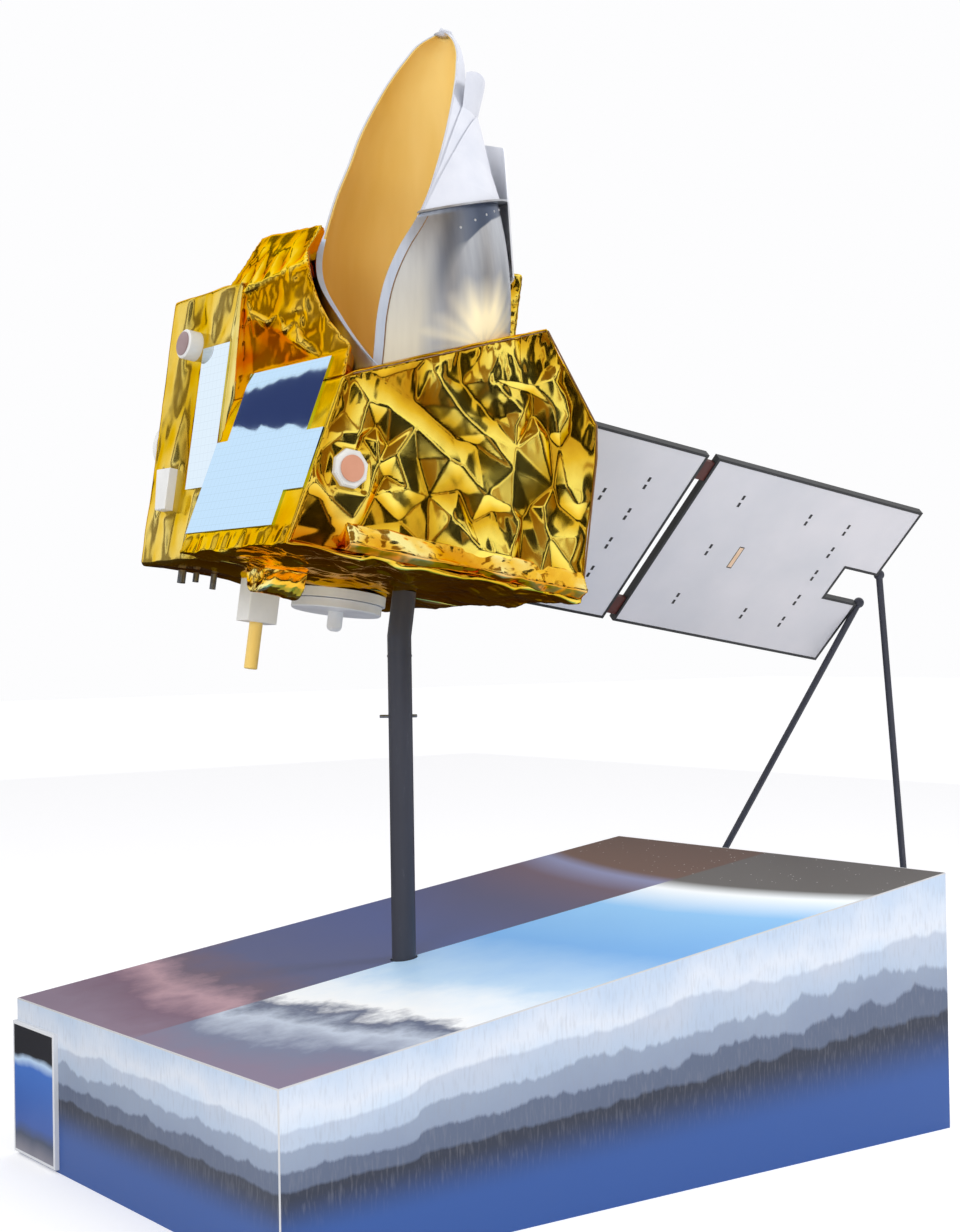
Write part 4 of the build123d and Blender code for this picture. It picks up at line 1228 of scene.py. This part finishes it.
def wing_plates(name, places, size, thickness, finish):
    """Thin plates with sloped edges on the wing's white face."""
    points, faces = [], []
    for a, chord in places:
        first = len(points)
        for proud, share in ((0.0, 1.0), (thickness, 0.86)):
            for side_a, side_chord in ((-1, -1), (1, -1), (1, 1), (-1, 1)):
                along_wing = a + side_a * size[0] / 2 * share
                up_chord = chord + side_chord * size[1] / 2 * share
                points.append(wing_point(along_wing, up_chord, proud))
        faces += ring_quads(first, 2, 4)
        faces += [tuple(first + 4 + k for k in range(4)), tuple(first + k for k in (3, 2, 1, 0))]
    piece(name, in_scene(points), faces, finish, smooth=False)


clips = [(a, chord + side * CLIP_SPACING) for a, chord in CLIP_PAIRS for side in (-1, 1)]
wing_plates("wing_clips", clips, CLIP_SIZE, 0.0006, clip_plastic)
wing_plates("wing_tag_rim", [TAG_PLACE], (0.019, 0.077), 0.0003, clip_plastic)
wing_plates("wing_tag", [TAG_PLACE], (0.015, 0.073), 0.0007, tag_film)

# Stage, lights and camera
FLOOR_HALF = 40
FLOOR_LIFT = 0.3


def lay_floor():
    """A plain pale floor, lifted towards white for the camera alone, which keeps its shadows."""
    mesh = bpy.data.meshes.new("floor")
    corners = [(x * FLOOR_HALF, y * FLOOR_HALF, 0) for x, y in ((-1, -1), (1, -1), (1, 1), (-1, 1))]
    mesh.from_pydata(corners, [], [(0, 1, 2, 3)])
    floor = bpy.data.objects.new("floor", mesh)
    paint, tree, shader = surface(
        "floor_paint", Base_Color=colour("#ECECEE"), Roughness=0.85, Emission_Color=colour("#FFFFFF")
    )
    seen = add(tree, "ShaderNodeLightPath", output="Is Camera Ray")
    lift = maths(tree, "MULTIPLY", seen, FLOOR_LIFT)
    tree.links.new(lift, shader.inputs["Emission Strength"])
    mesh.materials.append(paint)
    bpy.context.scene.collection.objects.link(floor)


lay_floor()

# Studio flags round the set, dark ones and tan ones, which only gloss and metal show: turn and
# width in degrees, low and high edge, colour
FLAG_DISTANCE = 9.0
FLAGS = (
    (-68, 15, -0.5, 4.6, "#14161C"),
    (-34, 16, -0.5, 5.6, "#181A20"),
    (8, 24, -0.5, 4.6, "#1A1C22"),
    (-104, 20, -0.5, 3.6, "#14161C"),
    (-82, 10, -0.5, 7.5, "#9A7434"),
    (-21, 9, -0.5, 8.0, "#A07A38"),
    (-50, 5, -0.5, 4.0, "#B08A44"),
    (-165, 24, -0.5, 3.4, "#1A1C26"),
    (57, 60, -0.5, 3.6, "#24181C"),
    (99, 7, -0.5, 8.5, "#2A2A1C"),
    (124.5, 8, -0.5, 7.0, "#8A8070"),
    (136, 6, -0.5, 8.0, "#2A2A1C"),
    (176, 30, 6.0, 13.0, "#2A1E10"),
)
# A navy cloth with a torn lower edge, which the front mirror's upper part shows: turn, height
TORN_EDGE = (
    (110.9, 5.71),
    (111.46, 5.735),
    (111.75, 5.79),
    (112.0, 5.795),
    (112.28, 5.887),
    (112.55, 5.90),
    (112.82, 5.934),
    (113.19, 6.042),
    (113.63, 6.073),
    (113.88, 6.141),
    (114.4, 6.21),
)
TOP_EDGE = ((114.4, 6.98), (112.83, 6.608), (111.28, 6.19), (110.5, 5.97))
# Dark cloths on the floor far in front and behind, and a tan one overhead: near and far edge,
# right edge, height, colour
LEVEL_CLOTHS = (
    ("front_cloth", -6.0, -16.0, 10.0, 0.004, "#2A1E18"),
    ("rear_cloth", 1.0, 14.0, 10.0, 0.004, "#2A1A18"),
    ("ceiling_cloth", -1.0, -10.0, 4.6, 8.5, "#94702C"),
)
CLOTH_LEFT = -6.0


def on_ring(turn, height):
    """A place on the ring of flags."""
    return (FLAG_DISTANCE * cos(radians(turn)), FLAG_DISTANCE * sin(radians(turn)), height)


def hang_flag(name, corners, tone):
    """A flag with chosen corners, which gloss alone sees."""
    mesh = bpy.data.meshes.new(name)
    mesh.from_pydata(corners, [], [tuple(range(len(corners)))])
    cloth, _, _ = surface("flag_cloth", Base_Color=colour(tone), Roughness=0.9)
    mesh.materials.append(cloth)
    flag = bpy.data.objects.new(name, mesh)
    bpy.context.scene.collection.objects.link(flag)
    flag.visible_camera = False
    flag.visible_diffuse = False
    flag.visible_shadow = False
    flag.visible_transmission = False


for turn, width, low, high, tone in FLAGS:
    ends = (turn - width / 2, turn + width / 2)
    corners = [on_ring(end, low) for end in ends] + [on_ring(end, high) for end in reversed(ends)]
    hang_flag("flag_%04d" % (turn % 360 * 10), corners, tone)
hang_flag("navy_cloth", [on_ring(*corner) for corner in TORN_EDGE + TOP_EDGE], "#39406A")
for name, near, far, side, height, tone in LEVEL_CLOTHS:
    outline = ((CLOTH_LEFT, near), (side, near), (side, far), (CLOTH_LEFT, far))
    hang_flag(name, [(x, y, height) for x, y in outline], tone)

SKY_LIGHT = 0.85


def light_backdrop():
    """A near-white backdrop for the camera, gloss and glass, and a softer light for the rest."""
    world = bpy.data.worlds.new("studio")
    bpy.context.scene.world = world
    world.use_nodes = True
    sky = world.node_tree
    backdrop = sky.nodes["Background"]
    rays = add(sky, "ShaderNodeLightPath").node.outputs
    seen = maths(sky, "MAXIMUM", rays["Is Camera Ray"], rays["Is Glossy Ray"])
    seen = maths(sky, "MAXIMUM", seen, rays["Is Transmission Ray"])
    level = add(sky, "ShaderNodeMapRange", {"Value": seen, "To Min": SKY_LIGHT, "To Max": 1.0})
    backdrop.inputs["Color"].default_value = colour("#FDFDFE")
    sky.links.new(level, backdrop.inputs["Strength"])


light_backdrop()

# A lamp: name, place, what it points at, size and power in watts
LAMPS = (
    ("key_lamp", (3.6, -3.4, 5.0), (0.0, 0.0, 1.3), 1.6, 180),
    ("fill_lamp", (-5.0, -3.0, 3.6), (0.0, 0.0, 1.2), 2.2, 120),
)
for name, place, aim, size, power in LAMPS:
    lamp = bpy.data.lights.new(name, "AREA")
    lamp.size = size
    lamp.energy = power
    holder = bpy.data.objects.new(name, lamp)
    holder.location = place
    holder.visible_glossy = False
    holder.rotation_euler = (Vector(aim) - Vector(place)).to_track_quat("-Z", "Y").to_euler()
    bpy.context.scene.collection.objects.link(holder)

# The camera: its lens in millimetres, place in metres and turns in radians
LENS = 57.07
SENSOR_WIDTH = 36
CAMERA_PLACE = (-2.9567400712, -4.0727792367, 1.2853493159)
YAW, PITCH, ROLL = -0.6271463895, 0.0120452207, -0.0155398600


def set_camera():
    """The camera at the photo's view."""
    lens = bpy.data.cameras.new("camera")
    lens.sensor_width = SENSOR_WIDTH
    lens.lens = LENS
    camera = bpy.data.objects.new("camera", lens)
    right = Vector((cos(YAW), sin(YAW), 0))
    ahead = Vector((-sin(YAW), cos(YAW), 0)) * cos(PITCH) + Vector((0, 0, 1)) * sin(PITCH)
    upward = right.cross(ahead)
    turned_right = right * cos(ROLL) + upward * sin(ROLL)
    turned_up = upward * cos(ROLL) - right * sin(ROLL)
    axes = Matrix((turned_right, turned_up, -ahead)).transposed().to_4x4()
    camera.matrix_world = Matrix.Translation(CAMERA_PLACE) @ axes
    bpy.context.scene.collection.objects.link(camera)
    bpy.context.scene.camera = camera


set_camera()
bpy.context.scene.view_settings.view_transform = "Standard"
